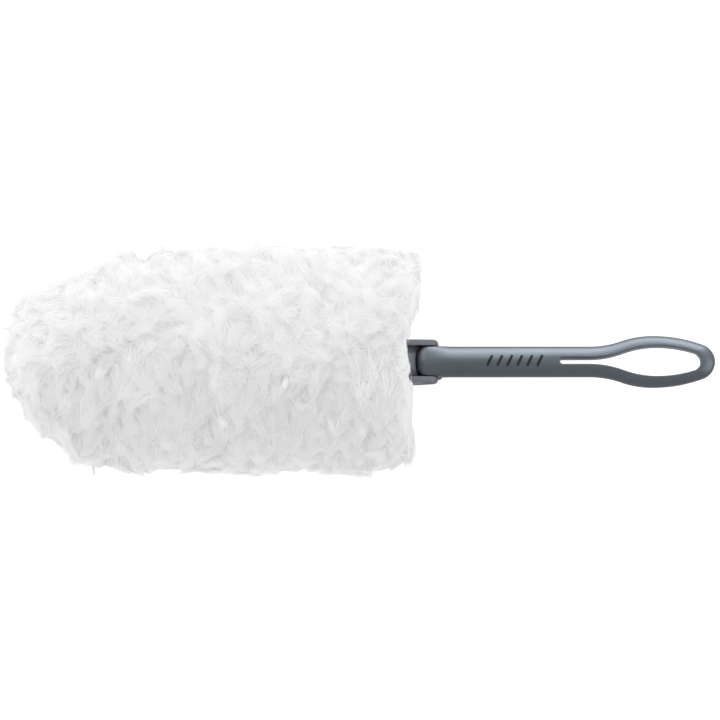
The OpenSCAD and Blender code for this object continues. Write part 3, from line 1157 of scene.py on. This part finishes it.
@dataclass
class FluffShell:
    """The soft outside of the refill, as a surface about the pin. Sizes in millimetres.

    The two outlines give the half-width on each side against the distance from the fluffy tip.
    """

    reach: float = 210.25
    crown_h: float = 48.5
    tip_h: float = 60
    lowest: float = -46.1
    valley_x: float = -11.8
    valley_y: float = 15
    shoulder_y: float = 37
    shoulder_round: float = 9
    shoulder_turn: float = 0.9
    length: float = 206.25
    hub: float = 0.2
    side_share: float = 0.84
    crowding: float = 1.6
    nudge: float = 1e-3
    tiny: float = 1e-9
    least_share: float = 1e-4
    # Steps that fill a square evenly: 1 over the plastic number, and 1 over its square
    seed_steps: Pair = (0.7548776662466927, 0.5698402909980532)
    seed_grid: int = 240
    ease: float = 2
    left_shoulder: float = -6.4
    right_shoulder: float = -11.6
    solid_valley: float = -11.5
    solid_shoulder: float = -4
    tuft_h: float = 2.4
    tuft_pitch: float = 36
    tuft_peak: float = 2.4
    tuft_ways: tuple[Triple, ...] = ((1, 0.3, 0.2), (-0.5, 0.9, 0.4), (0.3, -0.5, 0.9), (0.7, 0.6, -0.6))
    tip_len: float = 75
    seam: float = 26
    seam_half: float = 2
    seam_fade: float = 12
    left: tuple[Pair, ...] = (
        (0, 3), (2, 12), (4, 27), (6, 32), (14, 33.5), (28, 40), (39, 44.5), (52, 52), (57, 55), (61, 54.5),
        (67, 48), (71, 47.5), (78, 55), (84, 52.5), (88, 52), (93, 54), (110, 56), (134, 57), (200, 55.4),
        (204.5, 54.6), (206.25, 51.5),
    )
    right: tuple[Pair, ...] = (
        (0, 4), (4, 15), (8, 20), (12, 28), (18, 36), (27, 39.5), (33, 48), (44, 51), (52, 47.5), (62, 52),
        (70, 54), (100, 53.5), (132, 54), (150, 54), (158, 52.3), (174, 52), (184, 53.5), (192, 53.5),
        (202, 51), (206.25, 46.5),
    )

    def half_width(self, s: Array, left: Array) -> Array:
        """Half-width at a distance from the tip, on the left or the right side.

        Args:
            s: the distance from the tip.
            left: whether each place is on the left side.

        Returns:
            The half-width at each place.
        """
        lines = [np.array(line, float).T for line in (self.left, self.right)]
        near = [np.mean([np.interp(s + d, *line) for d in (-self.ease, 0, self.ease)], 0) for line in lines]
        return np.where(left, *near)

    def half_height(self, s: Array) -> Array:
        """Half-height at a distance from the tip.

        Args:
            s: the distance from the tip.

        Returns:
            The half-height at each place.
        """
        past = np.clip((s - self.length) / self.shoulder_round + 1, 0, 1)
        drop = self.shoulder_round * (1 - np.sqrt(1 - self.shoulder_turn * past**2))
        return self.crown_h * round_tip(s, self.tip_h) - drop

    def mouth(self, y: Array, valley: float, shoulder: Array | float) -> Array:
        """A line across the refill's mouth: hollow in the middle, full at the shoulders."""
        return valley + (shoulder - valley) * soft_step(np.abs(y), self.valley_y, self.shoulder_y)

    def end_x(self, y: Array) -> Array:
        """Where the fibre ends at the yoke."""
        return self.mouth(y, self.valley_x, np.where(y > 0, self.left_shoulder, self.right_shoulder))

    def solid_end_x(self, y: Array) -> Array:
        """Where the solids end at the yoke."""
        return self.mouth(y, self.solid_valley, self.solid_shoulder)

    def climb(self, a: Array) -> Array:
        """How steeply each angle round the refill stands above or below the side, in degrees."""
        return np.degrees(np.arcsin(np.abs(np.sin(a))))

    def point(self, t: Array, a: Array) -> Array:
        """A point of the shell.

        Args:
            t: from 0 at the tip, along the side, to 1 at the yoke.
            a: the angle round the refill in radians, from +Y over the top.

        Returns:
            One row per point.
        """
        s = self.length * np.clip(t / self.side_share, 0, 1) ** self.crowding
        inward = np.clip((t - self.side_share) / (1 - self.side_share), 0, 1)
        share = 1 - (1 - self.hub) * inward
        y = share * self.half_width(s, np.cos(a) >= 0) * np.cos(a)
        z = np.maximum(share * self.half_height(s) * np.sin(a), self.lowest)
        x = -self.reach + s / self.length * (self.reach + self.end_x(y))
        return np.stack([x, y, z], -1)

    def tuft(self, place: Array, a: Array) -> Array:
        """How far the solids' soft lumps stand out at places of the shell.

        Args:
            place: one row per point of the shell.
            a: its angle round the refill in radians.

        Returns:
            One height per point.
        """
        at = np.column_stack([place[:, 0] + self.reach, place[:, 1], np.abs(place[:, 2])])
        waves = np.sin(math.tau / self.tuft_pitch * at @ np.array(self.tuft_ways).T).sum(1) / self.tuft_peak
        fade = soft_step(np.abs(self.climb(a) - self.seam) - self.seam_half, 0, self.seam_fade)
        return self.tuft_h * waves * fade * round_tip(at[:, 0], self.tip_len)

    def normal(self, t: Array, a: Array) -> Array:
        """The shell's outward direction at a point.

        Args:
            t: from 0 at the tip, along the side, to 1 at the yoke.
            a: the angle round the refill in radians.

        Returns:
            One row of length 1 per point.
        """
        step = self.nudge
        t = np.clip(t, step, 1 - step)
        along = self.point(t + step, a) - self.point(t - step, a)
        round_it = self.point(t, a + step) - self.point(t, a - step)
        return unit(np.cross(round_it, along), self.tiny)

    def nearest(self, places: Array, t: Array) -> tuple[Array, Array]:
        """The shell's t and a under places that lie close to it.

        Args:
            places: one row per place.
            t: where on the shell each came from, which tells the side from the end.

        Returns:
            Each place's t and a.
        """
        x, y, z = places.T
        share = np.clip((x + self.reach) / (self.reach + self.end_x(y)), self.least_share, 1)
        s = self.length * share
        wide, high = self.half_width(s, y >= 0), np.maximum(self.half_height(s), 1)
        a = np.arctan2(z / high, y / wide)
        along = self.side_share * share ** (1 / self.crowding)
        inward = np.clip((1 - np.hypot(y / wide, z / high)) / (1 - self.hub), 0, 1)
        over_end = self.side_share + (1 - self.side_share) * inward
        return np.where(t > self.side_share, over_end, along), a

    def spread(self, count: int) -> tuple[Array, Array]:
        """Spreads seeds evenly over the shell's area.

        Args:
            count: how many seeds.

        Returns:
            The seeds' t and a.
        """
        grid = self.seed_grid
        t_edge = np.linspace(0, 1, grid + 1)
        a_edge = np.linspace(0, math.tau, grid + 1)
        corner = self.point(t_edge[:, None], a_edge[None, :])
        along, round_it = np.diff(corner, axis=0)[:, :-1], np.diff(corner, axis=1)[:-1]
        area = np.linalg.norm(np.cross(along, round_it), axis=2)
        number = np.arange(1, count + 1)
        first, second = (number * step % 1 for step in self.seed_steps)
        rings = np.concatenate([[0], np.cumsum(area.sum(1))]) / area.sum()
        t = np.interp(first, rings, t_edge)
        ring = np.clip(np.searchsorted(t_edge, t) - 1, 0, grid - 1)
        filled = np.concatenate([np.zeros((grid, 1)), np.cumsum(area, 1)], 1) / area.sum(1, keepdims=True)
        a = np.array([np.interp(share, filled[i], a_edge) for share, i in zip(second, ring)])
        return t, a


@dataclass(frozen=True)
class Tuft:
    """A tuft that the photograph shows, in the outline or as a bright petal on the crown.

    Attributes:
        s: distance from the fluffy tip, in millimetres.
        a: angle round the refill in degrees.
        tip: where its tip lies from the shell, in millimetres.
        width: the radius of its blunt tip, in millimetres.
    """

    s: float
    a: float
    tip: Triple
    width: float = 4


OUTLINE_TUFTS = (
    Tuft(57, 9, (1, 3, 0)), Tuft(62, 9, (1, 2.5, 0)), Tuft(78, 5, (1, 3.5, 0), 3),
    Tuft(4, 9, (-2, 2, 0)), Tuft(2.6, 17, (-4.5, 0, 0), 1.5), Tuft(1.4, 77, (-2.5, 0, -2)),
    Tuft(2, 167, (-3, -1, 0)), Tuft(5, 182, (-2.5, -2, 0)), Tuft(11, 185, (-2, -2, 0)),
    Tuft(18, 187, (-1, -3, 0)), Tuft(27, 187, (-1, -2, 0)), Tuft(35, 187, (-1, -3, 0), 5),
    Tuft(44, 187, (1, -5.5, 0), 1.2), Tuft(186, 187, (2, -2.5, 0)),
)
CROWN_TUFTS = (
    Tuft(91, 86, (-1, -6, 5.5), 4.5), Tuft(97, 88, (4, -5, 4.5), 4), Tuft(106, 91, (6, -3, 3), 3.5),
    Tuft(75, 90, (-4, -6, 5), 5), Tuft(69, 94, (-4, -6, 4), 5), Tuft(51, 101, (-2, -6, 2), 4.5),
    Tuft(26, 89, (-5, -4, 2)), Tuft(146, 105, (-2, -6, 2.5), 2.5), Tuft(189, 101, (1, -8, 3), 7),
    Tuft(193, 107, (2, -8, 3), 7), Tuft(186, 111, (-1, -7, 2.5), 7), Tuft(112, 127, (2, -6, 2.5), 3.5),
    Tuft(169, 131, (1, -6, 2.5), 4), Tuft(156, 120, (4, -4, 2)), Tuft(150, 119, (4, -4, 2)),
)
TUFTS = OUTLINE_TUFTS + CROWN_TUFTS


@dataclass
class Refill:
    """The fibre tow: four dense layers and the strands that stand out of them. Sizes in millimetres."""

    shell: FluffShell
    seed: int = 11
    clump_n: int = 2500
    strand_n: int = 70
    root_depth: float = 5
    root_spread: float = 7
    knee_share: float = 0.35
    knee_rise: float = 0.8
    knee_fan: float = 0.6
    tuft_flare: float = 1.4
    tip_spread: float = 3
    lean_least: float = 7
    lean_most: float = 15
    rise_least: float = -0.5
    rise_most: float = 0.6
    wander: float = 0.35
    droop: Triple = (-0.15, -0.25, -0.35)
    parting: float = 0.02
    shortest: float = 0.72
    fuzz: float = 1.6
    twist: float = 0.25
    crimp: float = 0.3
    crimp_turns: float = 1.6
    strand_r: float = 0.125
    thinnest: float = 0.75
    thickest: float = 1.25
    softness: float = 0.75
    lit_from: float = 0.2
    strand_cuts: tuple[float, ...] = (0.5,)
    most_strands: int = 19000
    solid_left: float = 57
    solid_right: float = 54.5
    heart_depth: float = 3.2
    heart_cuts: int = 2
    heart_least: float = 0.8
    heart_most: float = 1.25
    heart_tip: float = 0.7
    mouth_depth: float = 2.5
    mouth_reach: float = 30
    core_r: float = 7
    rind_r: float = 26
    floor_gap: float = 0.25
    floor_spread: float = 0.6
    map_edge: float = 0.03
    map_width: float = 0.004
    neck_room: tuple[Triple, Triple] = ((-45, -15.5, -6.4), (-8, 15.5, 6.4))
    fences: tuple[tuple[Triple, Triple], ...] = (
        ((-11.4, 6.5, -60), (60, 13.5, 60)),
        ((-11.4, -13.5, -60), (60, -6.5, 60)),
        ((-8.6, -6.5, -60), (60, 6.5, 60)),
    )
    fence_give: float = 0.05

    def heart(self, tow: Tow, material: Material) -> Piece:
        """The dense heart of one layer: its solid, drawn in under the strands and softened.

        Args:
            tow: the layer.
            material: its finish.

        Returns:
            The piece.
        """
        piece = merged_copy(tow.value, tow.value + "_heart", 0)
        with editing(piece):
            bpy.ops.mesh.select_all(action="SELECT")
            bpy.ops.mesh.subdivide(number_cuts=self.heart_cuts)
        shell = self.shell
        at = vertex_places(piece) / MM - PIN
        s = np.clip(at[:, 0] + shell.reach, 0, shell.length)
        left = at[:, 1] >= 0
        widest = shell.half_width(s, left) / np.maximum(self.solid_half_width(s, left), 1)
        widest = np.clip(widest, self.heart_least, self.heart_most)
        at[:, 1] *= 1 + (widest - 1) * soft_step(np.abs(at[:, 1]), self.core_r, self.rind_r)
        out = np.linalg.norm(at[:, 1:], axis=1)
        rind = soft_step(out, self.core_r, self.rind_r)
        at[:, 1:] *= 1 - (self.heart_depth * rind / np.maximum(out, 1))[:, None]
        at[:, 0] += self.heart_depth * soft_step(-at[:, 0], self.heart_tip * shell.reach, shell.reach)
        end = shell.solid_end_x(at[:, 1])
        push = end - shell.end_x(at[:, 1]) + self.mouth_depth
        at[:, 0] -= push * soft_step(at[:, 0], end - self.mouth_reach, end)
        at[:, 2] = np.maximum(at[:, 2], shell.lowest)
        place_vertices(piece, at)
        bpy.ops.object.shade_smooth()
        wear(piece, material)
        return mount(piece, Body.REFILL, Slot.FIBRE, tow.value)

    def solid_half_width(self, s: Array, left: Array) -> Array:
        """Half the solid's width at a distance from the tip, on the left or the right side."""
        return round_tip(s, self.shell.tip_len) * np.where(left, self.solid_left, self.solid_right)

    def strand_form(self) -> tuple[Array, list[list[int]]]:
        """Models one straight strand: a three-sided cone with a cut wherever it can bend.

        Returns:
            Its vertices, with its length along Z from 0 to 1, and its faces.
        """
        cone = {"vertices": 3, "radius1": 1, "radius2": 0, "depth": 1, "location": (0, 0, 0.5)}
        piece = primitive("cone", "strand_form", **cone)
        with editing(piece):
            for cut in self.strand_cuts:
                bpy.ops.mesh.select_all(action="SELECT")
                bpy.ops.mesh.bisect(plane_co=(0, 0, cut), plane_no=(0, 0, 1))
        form = vertex_places(piece), [list(face.vertices) for face in piece.data.polygons]
        bpy.data.objects.remove(piece)
        return form

    def tows_at(self, a: Array) -> Array:
        """Which layer grows at each angle, as a number in the order of Tow."""
        return np.where(np.sin(a) >= 0, 0, 2) + (self.shell.climb(a) > self.shell.seam)

    def clumps(self, rng: np.random.Generator) -> dict[str, Array]:
        """Draws the clumps: where each grows, which way it leans and how far it stands out.

        Args:
            rng: the source of chance.

        Returns:
            Arrays by name, one row per clump.
        """
        shell = self.shell
        t, a = shell.spread(self.clump_n)
        tuft_t = [shell.side_share * (tuft.s / shell.length) ** (1 / shell.crowding) for tuft in TUFTS]
        t = np.concatenate([t, tuft_t])
        a = np.concatenate([a, np.radians([tuft.a for tuft in TUFTS])])
        count = len(t)
        place, out = shell.point(t, a), shell.normal(t, a)
        lump = shell.tuft(place, a) + self.fuzz
        place += out * lump[:, None]
        wish = rng.normal(0, self.wander, (count, 3)) + self.droop
        wish[:, 1] += self.parting * place[:, 1]
        lean = unit(square_to(out, wish))
        reach = rng.uniform(self.lean_least, self.lean_most, count)
        rise = rng.uniform(self.rise_least, self.rise_most, count) + lump
        tip_at = shell.nearest(place + lean * reach[:, None], t)
        tip = shell.point(*tip_at) + shell.normal(*tip_at) * rise[:, None]
        tip[self.clump_n:] = place[self.clump_n:] + [tuft.tip for tuft in TUFTS]
        lit = unit(square_to(unit(tip - place), out), shell.nudge)
        width = np.full((count, 1), self.tip_spread)
        width[self.clump_n:, 0] = [tuft.width for tuft in TUFTS]
        root_r = np.full((count, 1), self.root_spread)
        root_r[self.clump_n:] = width[self.clump_n:] * self.tuft_flare
        return {
            "place": place, "out": out, "lit": lit, "tip": tip,
            "root_r": root_r, "tip_r": width, "tow": self.tows_at(a),
        }

    def discs(self, rng: np.random.Generator, out: Array) -> Array:
        """Random points of flat discs, of radius 1, square to the given directions."""
        spot = unit(square_to(out, rng.normal(0, 1, out.shape)))
        return spot * np.sqrt(rng.random((len(out), 1)))

    def fenced(self, places: Array) -> Array:
        """Presses back what would reach over the yoke or into the folding handle's way.

        Args:
            places: any number of places, which are changed.

        Returns:
            The same places.
        """
        for low, high in self.fences:
            inside = ((places > low) & (places < high)).all(-1)
            places[inside, 0] = low[0] + (places[inside, 0] - low[0]) * self.fence_give
        return places

    def clear(self, lines: Array) -> Array:
        """Whether each line keeps out of the fork's neck."""
        low, high = self.neck_room
        return ~((lines > low) & (lines < high)).all(2).any(1)

    def strands(self, rng: np.random.Generator, form: Array) -> dict[str, Array]:
        """Bends a copy of the strand form for each strand of each clump.

        Args:
            rng: the source of chance.
            form: the straight strand's vertices.

        Returns:
            Vertices and map places by strand, and each strand's layer.
        """
        clump = {name: np.repeat(rows, self.strand_n, 0) for name, rows in self.clumps(rng).items()}
        place, out, tip, tow = (clump[name] for name in ("place", "out", "tip", "tow"))
        count = len(place)
        fan = self.discs(rng, out) * clump["root_r"]
        root = place - out * self.root_depth + fan
        knee = place + (tip - place) * self.knee_share + out * self.knee_rise + fan * self.knee_fan
        short = rng.uniform(self.shortest, 1, (count, 1))
        end = knee + (tip + self.discs(rng, out) * clump["tip_r"] - knee) * short
        q = form[None, :, 2, None]
        line = root[:, None] * (1 - q) ** 2 + knee[:, None] * 2 * q * (1 - q) + end[:, None] * q**2
        way = unit((knee - root)[:, None] * (1 - q) + (end - knee)[:, None] * q)
        across = unit(np.cross(way, out[:, None] + rng.normal(0, self.twist, (count, 1, 3))))
        beside = np.cross(way, across)
        phase = rng.uniform(0, math.tau, (count, 1, 1))
        line = line + across * self.crimp * q * np.sin(math.tau * self.crimp_turns * q + phase)
        thick = self.strand_r * rng.uniform(self.thinnest, self.thickest, (count, 1, 1))
        vertices = line + thick * (across * form[None, :, :1] + beside * form[None, :, 1:2])
        lowest = self.floor_gap - PIN[2] + rng.random((count, 1)) * self.floor_spread
        vertices[..., 2] = np.maximum(vertices[..., 2], lowest)
        tint = self.map_edge + (1 - 2 * self.map_edge) * rng.random((count, 1))
        tint = tint + form[None, :, 0] * self.map_width
        along = self.map_edge + (1 - 2 * self.map_edge) * np.broadcast_to(form[:, 2], tint.shape)
        vertices = self.fenced(vertices)
        keep = self.clear(vertices)
        spots = np.stack([tint, along], 2)
        return {"vertices": vertices[keep], "lit": clump["lit"][keep], "map": spots[keep], "tow": tow[keep]}

    def soften(self, mesh: bpy.types.Mesh, lit: Array, sides: Array) -> None:
        """Turns the shading of the strands' outer faces towards their clump's, so that they blend as fluff.

        Args:
            mesh: the strands' mesh.
            lit: which way each strand's clump faces, one row per strand.
            sides: how many corners each face of one strand has.
        """
        facing = read(mesh, Element.FACE, "normal", 3).reshape(len(lit), len(sides), 3)
        outer = (facing * lit[:, None]).sum(2, keepdims=True) > self.lit_from
        facing = np.where(outer, facing + (lit[:, None] - facing) * self.softness, facing)
        mesh.normals_split_custom_set(np.repeat(facing.reshape(-1, 3), np.tile(sides, len(lit)), 0))

    def pelt(
        self, name: str, vertices: Array, lit: Array, spots: Array, faces: list[list[int]]
    ) -> Piece:
        """Joins many strands into one piece.

        Args:
            name: the piece's name.
            vertices: the strands' vertices, by strand.
            lit: which way each strand's clump faces, by strand.
            spots: their places on the map, by strand.
            faces: the faces of one strand.

        Returns:
            The piece.
        """
        count, size = vertices.shape[:2]
        corners = np.concatenate(faces)
        start = (np.arange(count) * size)[:, None]
        sides = np.array([len(face) for face in faces])
        loops = (start + corners).ravel()
        firsts = np.concatenate([[0], np.cumsum(np.tile(sides, count))[:-1]])
        mesh = bpy.data.meshes.new(name)
        mesh.vertices.add(count * size)
        mesh.vertices.foreach_set("co", ((vertices.reshape(-1, 3) + PIN) * MM).astype(np.float32).ravel())
        mesh.loops.add(len(loops))
        mesh.loops.foreach_set("vertex_index", loops.astype(np.int32))
        mesh.polygons.add(count * len(faces))
        mesh.polygons.foreach_set("loop_start", firsts.astype(np.int32))
        mesh.update(calc_edges=True)
        layer = mesh.uv_layers.new(name=FIBRE_WHITE.map_name)
        layer.uv.foreach_set("vector", spots.reshape(-1, 2)[loops].astype(np.float32).ravel())
        self.soften(mesh, lit, sides)
        piece = bpy.data.objects.new(name, mesh)
        bpy.context.scene.collection.objects.link(piece)
        return piece

    def build(self) -> list[Piece]:
        """Makes and dresses the four layers and their strands.

        Returns:
            The pieces.
        """
        wadding, fibre = WADDING_WHITE.material(), FIBRE_WHITE.material()
        pieces = [self.heart(tow, wadding) for tow in Tow]
        form, faces = self.strand_form()
        strands = self.strands(np.random.default_rng(self.seed), form)
        for number, tow in enumerate(Tow):
            mine = np.flatnonzero(strands["tow"] == number)
            parts = np.array_split(mine, math.ceil(len(mine) / self.most_strands))
            for index, part in enumerate(parts):
                name = f"{tow.value}_strands_{index + 1}"
                rows = (strands[key][part] for key in ("vertices", "lit", "map"))
                piece = self.pelt(name, *rows, faces)
                wear(piece, fibre)
                pieces.append(mount(piece, Body.REFILL, Slot.FIBRE))
        return pieces


# Studio


@dataclass(frozen=True)
class SoftLight:
    """A soft box: where it hangs, its width and height in metres, and its power in watts."""

    name: str
    place: Triple
    width: float
    height: float
    power: float

    def hang(self) -> Piece:
        """Hangs the light so that it points at the duster's middle.

        Returns:
            The light.
        """
        turn = (MIDDLE - Vector(self.place)).to_track_quat("-Z", "Y").to_euler()
        bpy.ops.object.light_add(type="AREA", location=self.place, rotation=turn)
        light = newest(self.name)
        light.data.shape = "RECTANGLE"
        light.data.size = self.width
        light.data.size_y = self.height
        light.data.energy = self.power
        return light


@dataclass
class Studio:
    """A pale floor, soft light and a camera almost straight above, framed as in the photograph."""

    pixel: float = 0.5 * MM
    picture: int = 720
    origin_px: Pair = (361.5, 362)
    camera_far: float = 3
    camera_tilt: float = 8
    sensor: float = 36
    floor_w: float = 12
    floor_white: float = 0.75
    floor_rough: float = 0.9
    floor_glow: float = 0.5
    sky_dim: float = 0.61
    sky_bright: float = 1.36
    sky_power: float = 3
    bounces: int = 24
    lights: tuple[SoftLight, ...] = (
        SoftLight("key_light", (0, 1.6, 1.2), 2.4, 1.2, 3),
        SoftLight("left_light", (-1.7, -0.2, 1.2), 1.2, 1.2, 8),
        SoftLight("right_light", (1.7, -0.2, 1.2), 1.2, 1.2, 8),
    )
    plastic_lights: tuple[SoftLight, ...] = (
        SoftLight("strip_light", (0.25, 1.2, 0.5), 1.2, 0.8, 12),
        SoftLight("nose_light", (-0.7, 0.8, 0.32), 0.6, 0.6, 9),
    )

    def camera(self) -> None:
        """Sets the camera over the table, at the photograph's scale on the handle's plane."""
        half = self.picture / 2
        aside = Vector((half - self.origin_px[0], self.origin_px[1] - half, 0)) * self.pixel
        tilt = math.radians(self.camera_tilt)
        back = Vector((0, -math.sin(tilt), math.cos(tilt))) * self.camera_far
        bpy.ops.object.camera_add(location=MIDDLE + aside + back, rotation=(tilt, 0, 0))
        camera = newest("camera")
        camera.data.sensor_width = self.sensor
        camera.data.lens = self.sensor * self.camera_far / (self.picture * self.pixel)
        bpy.context.scene.camera = camera

    def floor(self) -> None:
        """Lays the pale floor."""
        floor = primitive("plane", "floor", size=self.floor_w)
        shader = Shader("floor_white")
        shader.set(
            Base_Color=(self.floor_white,) * 3 + (1,), Roughness=self.floor_rough,
            Emission_Color=(1, 1, 1, 1), Emission_Strength=self.floor_glow,
        )
        wear(floor, shader.material)

    def light(self) -> None:
        """Lights the table softly, most from the image's top."""
        world = bpy.data.worlds.new("studio")
        world.use_nodes = True
        tree = NodeTree(world.node_tree)
        toward = tree.axes(tree.node("TexCoord", {}, {}).outputs["Generated"])[1]
        sky = tree.mix((toward * 0.5 + 0.5) ** self.sky_power, (self.sky_dim,) * 3, (self.sky_bright,) * 3)
        tree.feed(world.node_tree.nodes["Background"].inputs["Color"], sky)
        bpy.context.scene.world = world
        bpy.context.scene.cycles.max_bounces = self.bounces
        bpy.context.scene.cycles.diffuse_bounces = self.bounces
        for light in self.lights:
            light.hang()
        bpy.context.scene.view_settings.view_transform = "Standard"

    def build(self) -> None:
        """Sets up the camera, the floor and the lights."""
        self.camera()
        self.floor()
        self.light()

    def flag(self, plastic: Sequence[Piece], fibre: Sequence[Piece]) -> None:
        """Flags the lights: two fall on the plastic alone, and the floor's glow on the fibre.

        Args:
            plastic: the moulded pieces.
            fibre: the sheets and the tow.
        """
        lit = {}
        for name, pieces in (("plastic", plastic), ("fibre", fibre)):
            lit[name] = bpy.data.collections.new(name + "_lit")
            for piece in pieces:
                lit[name].objects.link(piece)
        for light in self.plastic_lights:
            linking = light.hang().light_linking
            linking.receiver_collection = lit["plastic"]
            linking.blocker_collection = lit["plastic"]
        bpy.data.objects["floor"].light_linking.receiver_collection = lit["fibre"]


def main() -> None:
    """Builds every sub-assembly in order."""
    logging.basicConfig(level=logging.INFO, format="%(name)s: %(message)s")
    studio = Studio()
    studio.build()
    plastic = [Handle().build(), *Fork().build()]
    fibre = [*SleeveSheets().build(), *Refill(FluffShell()).build()]
    studio.flag(plastic, fibre)


if __name__ == "__main__":
    main()
